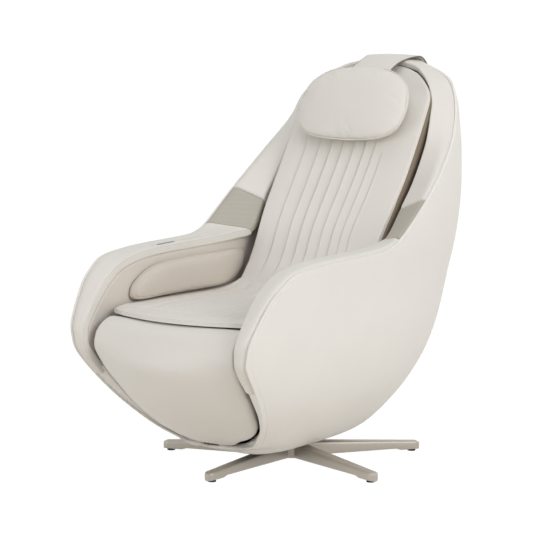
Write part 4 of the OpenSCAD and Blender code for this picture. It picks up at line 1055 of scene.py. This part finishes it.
class ChairSizes(bpy.types.PropertyGroup):
    """Sizes of the sewn and rolled forms."""

    channel: size("Channel depth", "How deep the seams between the back's rolls lie", 0.0072, 0.002, 0.010)
    crown: size("Arm crown", "Height of the roll on the arms and wings", 0.009, 0.004, 0.012)
    cushion: size("Cushion depth", "How far a side cushion stands out", 0.034, 0.02, 0.036)


FINISH = {}


def finishes(c):
    """All materials by name, made once."""
    FINISH.update(
        leather=leather("Ivory leather", c.leather),
        stitched=leather("Ivory leather, stitched", c.leather, True),
        shell=leather("Outer leather", c.shell),
        # The panel's colour is painted shade: the ivory leather darkened for the hollow under the arms.
        panel=leather("Panel, painted shade", c.panel),
        # The cushion's colour is painted shade: the ivory leather darkened for the hollow between the arms.
        cushion=leather("Cushion, painted shade", c.cushion),
        # Painted shade: a dark brown that stands for the shade on the back pad's side walls and at the strap's edges.
        gusset=leather("Gusset_painted_shade leather", (0.47, 0.42, 0.35)),
        grille=knitted("Speaker cloth", c.mesh),
        base=painted("Champagne paint", c.base, 0.35, 0.40),
        frame=painted("Black powder coat", (0.14, 0.14, 0.15), 0.0, 0.5),
        steel=bright_steel("Ground steel"),
        rubber=moulded("Black rubber", (0.10, 0.10, 0.10), 0.75),
        roller=moulded("Roller rubber", (0.18, 0.17, 0.17), 0.6),
        plastic=moulded("Black plastic", (0.09, 0.09, 0.09), 0.5),
        glossy=moulded("Glossy black", (0.05, 0.05, 0.06), 0.18, 0.6),
        trim=moulded("Control trim", (0.86, 0.84, 0.81), 0.42),
        button=bright_steel("Button metal", (0.86, 0.84, 0.80)),
        motor=painted("Motor grey", (0.24, 0.24, 0.25), 0.2, 0.45),
        wood=plywood("Birch ply"),
    )


NODE_FINISH = {
    "steel": "swivel_column bearing_race_lower bearing_race_upper bearing_balls retaining_ring guide_rods "
             "lead_screw legrest_pins",
    "frame": "swivel_plate seat_frame legrest_frame back_frame carriage knead_arm_left knead_arm_right",
    "roller": "roller_upper_left roller_lower_left roller_upper_right roller_lower_right",
    "motor": "legrest_motor screw_motor knead_motor",
    "plastic": "bottom_cover power_inlet control_box air_pump",
    "glossy": "power_switch control_window",
    "trim": "control_strip",
    "button": "control_button",
    "wood": "seat_board",
    "rubber": "foot_glides",
}


def dress(ob, finish, body, slot, *nodes):
    """Gives a piece its material and body, and lets it stand for the CAD nodes; slot is not used."""
    ob.data.materials.append(FINISH[finish])
    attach(ob, body)
    if nodes:
        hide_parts(*nodes)
    return ob


def both_sides(build):
    """Runs build(side, sign) for the chair's two sides; right has x above zero."""
    for side, sign in (("right", 1.0), ("left", -1.0)):
        build(side, sign)


# ---------------------------------------------------------------- operators


class CHAIR_OT_shell(bpy.types.Operator):
    """Egg shell in two halves with hem and centre seam"""

    bl_idname = "chair.shell"
    bl_label = "Shell"

    def execute(self, context):
        rings, uv = shell_rings()

        def build(side, sign):
            ob = loft(f"Egg.{side}", rings * [sign, 1, 1], uv)
            dress(ob, "shell", "seat_body", "shell_skin", f"shell_{side}")

        both_sides(build)
        return {"FINISHED"}


class CHAIR_OT_arms(bpy.types.Operator):
    """Rolled padding of arms and wings, with the speaker grilles between them"""

    bl_idname = "chair.arms"
    bl_label = "Arms and wings"

    def execute(self, context):
        crown = context.scene.chair_sizes.crown * 1000
        arm = band_rings(PAD_START, GRILLE_START - 0.012, 170, 22, crown)
        wing = band_rings(GRILLE_END + 0.012, RIM_END, 170, 22, crown, seam_deep=0.0)
        hem = hem_rings()
        mesh = band_rings(GRILLE_START, GRILLE_END, 40, 13, crown * 0.8, 6.0, 0.6, 0.03, 5.0)

        def build(side, sign):
            for word, (rings, uv), finish, slot, node in (
                ("Arm", arm, "stitched", "upholstery", "arm_pad_"),
                ("Wing", wing, "leather", "upholstery", "wing_pad_"),
                ("Grille", mesh, "grille", "grille_mesh", "speaker_grille_"),
            ):
                ob = loft(f"{word}.{side}", rings * [sign, 1, 1], uv)
                dress(ob, finish, "seat_body", slot, node + side)
            dress(loft(f"Hem.{side}", hem * [sign, 1, 1]), "shell", "seat_body", "shell_skin")

        both_sides(build)
        return {"FINISHED"}


class CHAIR_OT_sides(bpy.types.Operator):
    """Inner side panels and the air cushions on them"""

    bl_idname = "chair.sides"
    bl_label = "Side panels and cushions"

    def execute(self, context):
        panel = panel_rings()
        rings, face, back = cushion_rings(context.scene.chair_sizes.cushion * 1000)

        def build(side, sign):
            flip = np.array([sign, 1, 1])
            dress(loft(f"Panel.{side}", panel * flip), "panel", "seat_body", "panel_skin", f"side_panel_{side}")
            ob = dome(f"Cushion.{side}", rings * flip, face * flip, back * flip)
            press(inflate(ob, 2.0, 4.5, 0.004), cushion_seam)
            dress(ob, "cushion", "seat_body", "cushion_fabric", f"side_cushion_{side}")

        both_sides(build)
        return {"FINISHED"}


class CHAIR_OT_pads(bpy.types.Operator):
    """Channelled back pad and seat mat, and the leg rest"""

    bl_idname = "chair.pads"
    bl_label = "Seat, back and leg rest"

    def execute(self, context):
        deep = context.scene.chair_sizes.channel * 1000
        for name, (rings, uv), body, node in (
            ("Back", back_pad_rings(deep), "seat_body", "back_pad"),
            ("Mat", seat_mat_rings(deep), "seat_body", "seat_mat"),
            ("Legrest", leg_pad_rings(), "legrest", "legrest_pad"),
        ):
            ob = loft(name, rings, uv)
            if name == "Legrest":
                inflate(ob, 2.0, 4.0, 0.006, 3.0)
            dress(ob, "leather", body, "upholstery", node)
        cord = back_edge(2.6, -1.6)
        # A sheet over each side wall of the back pad, painted dark brown as painted shade.
        wall = np.stack([back_edge(5.0, 0.2), back_edge(34.0, 6.5, False)], 1)
        wall = np.concatenate([wall, wall[:, ::-1] - [1.6, 0, 0]], 1)

        def build(side, sign):
            flip = np.array([sign, 1, 1])
            dress(tube(f"Piping.{side}", cord * flip, 1.9), "leather", "seat_body", "upholstery")
            dress(loft(f"Gusset_painted_shade.{side}", wall * flip), "gusset", "seat_body", "upholstery")

        both_sides(build)
        return {"FINISHED"}


class CHAIR_OT_pillow(bpy.types.Operator):
    """Head pillow and the strap that holds it over the crown"""

    bl_idname = "chair.pillow"
    bl_label = "Pillow and strap"

    def execute(self, context):
        rings, face, back = pillow_rings()
        ob = inflate(dome("Pillow", rings, face, back), 1.5, 6.0, 0.0045)
        dress(ob, "leather", "seat_body", "upholstery", "head_pillow")
        dress(tube("Pillow_piping", pillow_edge(), 1.5, 8), "leather", "seat_body", "upholstery")
        rings, uv = strap_rings()
        ob = loft("Strap", rings, uv)
        dress(ob, "stitched", "seat_body", "upholstery", "pillow_strap")

        def bind(side, sign):
            # Dark brown cords along the strap's edges: painted shade where its edges fall into shadow.
            edge = tube(f"Binding.{side}", strap_edge() * [sign, 1, 1], 1.9, 8)
            dress(edge, "gusset", "seat_body", "upholstery")

        both_sides(bind)
        return {"FINISHED"}


class CHAIR_OT_base(bpy.types.Operator):
    """Star base with five tapered legs and its hub"""

    bl_idname = "chair.base"
    bl_label = "Star base"

    def execute(self, context):
        legs = [loft("Leg", star_rings(math.radians(72 * i - 90))) for i in range(5)]
        hub = hub_rings()
        n, m = hub.shape[:2]
        p = hub.reshape(-1, 3)
        body = make("Star_base", p, outward(p, grid_faces(n + 1, m, True) % (n * m)))
        for leg in legs:
            mod = body.modifiers.new("Join", "BOOLEAN")
            mod.operation, mod.solver, mod.object = "UNION", "EXACT", leg
        apply_all(body)
        for leg in legs:
            bpy.data.objects.remove(leg)
        dress(body, "base", "base", "base_metal", "star_base")
        return {"FINISHED"}


class CHAIR_OT_fittings(bpy.types.Operator):
    """Finishes of the frames, motors, rollers, controls and other inner pieces"""

    bl_idname = "chair.fittings"
    bl_label = "Fittings"

    def execute(self, context):
        for finish, nodes in NODE_FINISH.items():
            for node in nodes.split():
                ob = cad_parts[node]
                ob.data.materials.clear()
                ob.data.materials.append(FINISH[finish])
        return {"FINISHED"}


class CHAIR_OT_stage(bpy.types.Operator):
    """Pale floor, soft lamps, white surroundings and the camera"""

    bl_idname = "chair.stage"
    bl_label = "Stage"

    def execute(self, context):
        scene = context.scene
        scene.view_settings.view_transform = "Standard"
        far = 40000.0
        corners = [[-far, -far, 0], [far, -far, 0], [far, far, 0], [-far, far, 0]]
        floor = make("Floor", corners, [[0, 1, 2, 3]], smooth=False)
        floor.data.materials.append(white_floor())
        for name, place_at, turn, wide, power in (
            ("Key", (2.2, -3.4, 3.4), (48, 0, 33), 3.4, 32),
            ("Side", (4.0, -0.8, 2.2), (68, 0, 79), 3.0, 83),
            ("Fill", (-2.2, -3.9, 0.9), (86, 0, -29), 3.0, 52),
            ("Top", (0, 0.4, 4.2), (0, 0, 0), 3.6, 27),
            ("Rear", (1.0, 4.0, 2.6), (-60, 0, -14), 3.0, 16),
        ):
            lamp = bpy.data.lights.new(name, "AREA")
            lamp.shape, lamp.size, lamp.energy = "DISK", wide, power
            ob = bpy.data.objects.new(name, lamp)
            ob.location, ob.rotation_euler = place_at, [math.radians(v) for v in turn]
            scene.collection.objects.link(ob)
        scene.world = surroundings()
        cam = bpy.data.objects.new("Camera", bpy.data.cameras.new("Camera"))
        cam.data.sensor_width, cam.data.lens = 36.0, 146.57
        cam.location = (3.1153, -4.2738, 1.159)
        cam.rotation_euler = (math.radians(82.712), 0.0, math.radians(36.667))
        scene.collection.objects.link(cam)
        scene.camera = cam
        return {"FINISHED"}


def shown(m):
    """1 for what the camera sees, straight, mirrored or through glass, and 0 for all other light: the three
    kinds of ray added, 1 at most."""
    ways = ("Is Camera Ray", "Is Glossy Ray", "Is Transmission Ray")
    return sum(m.add("LightPath", out=way) for way in ways).at_most(1.0)


def white_floor():
    """White to the camera and in reflections, and a plain warm floor that takes shadow to everything else."""
    m = Finish("Studio floor")
    plain = m.add("BsdfDiffuse", None, {"Color": (0.86, 0.825, 0.765, 1), "Roughness": 0.5})
    white = m.add("Emission", None, {"Color": (1, 1, 1, 1), "Strength": 1.14})
    return m.end(m.add("MixShader", None, {0: shown(m) * 0.86, 1: plain, 2: white}))


def surroundings():
    """White to the camera and in reflections, and a weaker white light on the chair."""
    m = Finish("Surroundings", "World")
    light, white = (m.add("Background", None, {"Color": (1, 1, 1, 1), "Strength": v}) for v in (0.38, 1.0))
    return m.end(m.add("MixShader", None, {0: shown(m), 1: light, 2: white}))


class CHAIR_PT_panel(bpy.types.Panel):
    """Sizes, colours and pieces of the chair"""

    bl_idname = "CHAIR_PT_panel"
    bl_label = "Massage chair"
    bl_space_type = "VIEW_3D"
    bl_region_type = "UI"
    bl_category = "Chair"

    def draw(self, context):
        for group in (context.scene.chair_sizes, context.scene.chair_colours):
            box = self.layout.box()
            for key in group.__annotations__:
                box.prop(group, key)
        for op in OPERATORS:
            self.layout.operator(op.bl_idname)


OPERATORS = (
    CHAIR_OT_shell, CHAIR_OT_arms, CHAIR_OT_sides, CHAIR_OT_pads, CHAIR_OT_pillow, CHAIR_OT_base,
    CHAIR_OT_fittings, CHAIR_OT_stage,
)
CLASSES = (ChairColours, ChairSizes, *OPERATORS, CHAIR_PT_panel)


def register():
    for cls in CLASSES:
        bpy.utils.register_class(cls)
    bpy.types.Scene.chair_colours = bpy.props.PointerProperty(type=ChairColours)
    bpy.types.Scene.chair_sizes = bpy.props.PointerProperty(type=ChairSizes)


def unregister():
    del bpy.types.Scene.chair_sizes
    del bpy.types.Scene.chair_colours
    for cls in reversed(CLASSES):
        bpy.utils.unregister_class(cls)


def main():
    register()
    finishes(bpy.context.scene.chair_colours)
    for op in OPERATORS:
        group, name = op.bl_idname.split(".")
        getattr(getattr(bpy.ops, group), name)()


if __name__ == "__main__":
    main()
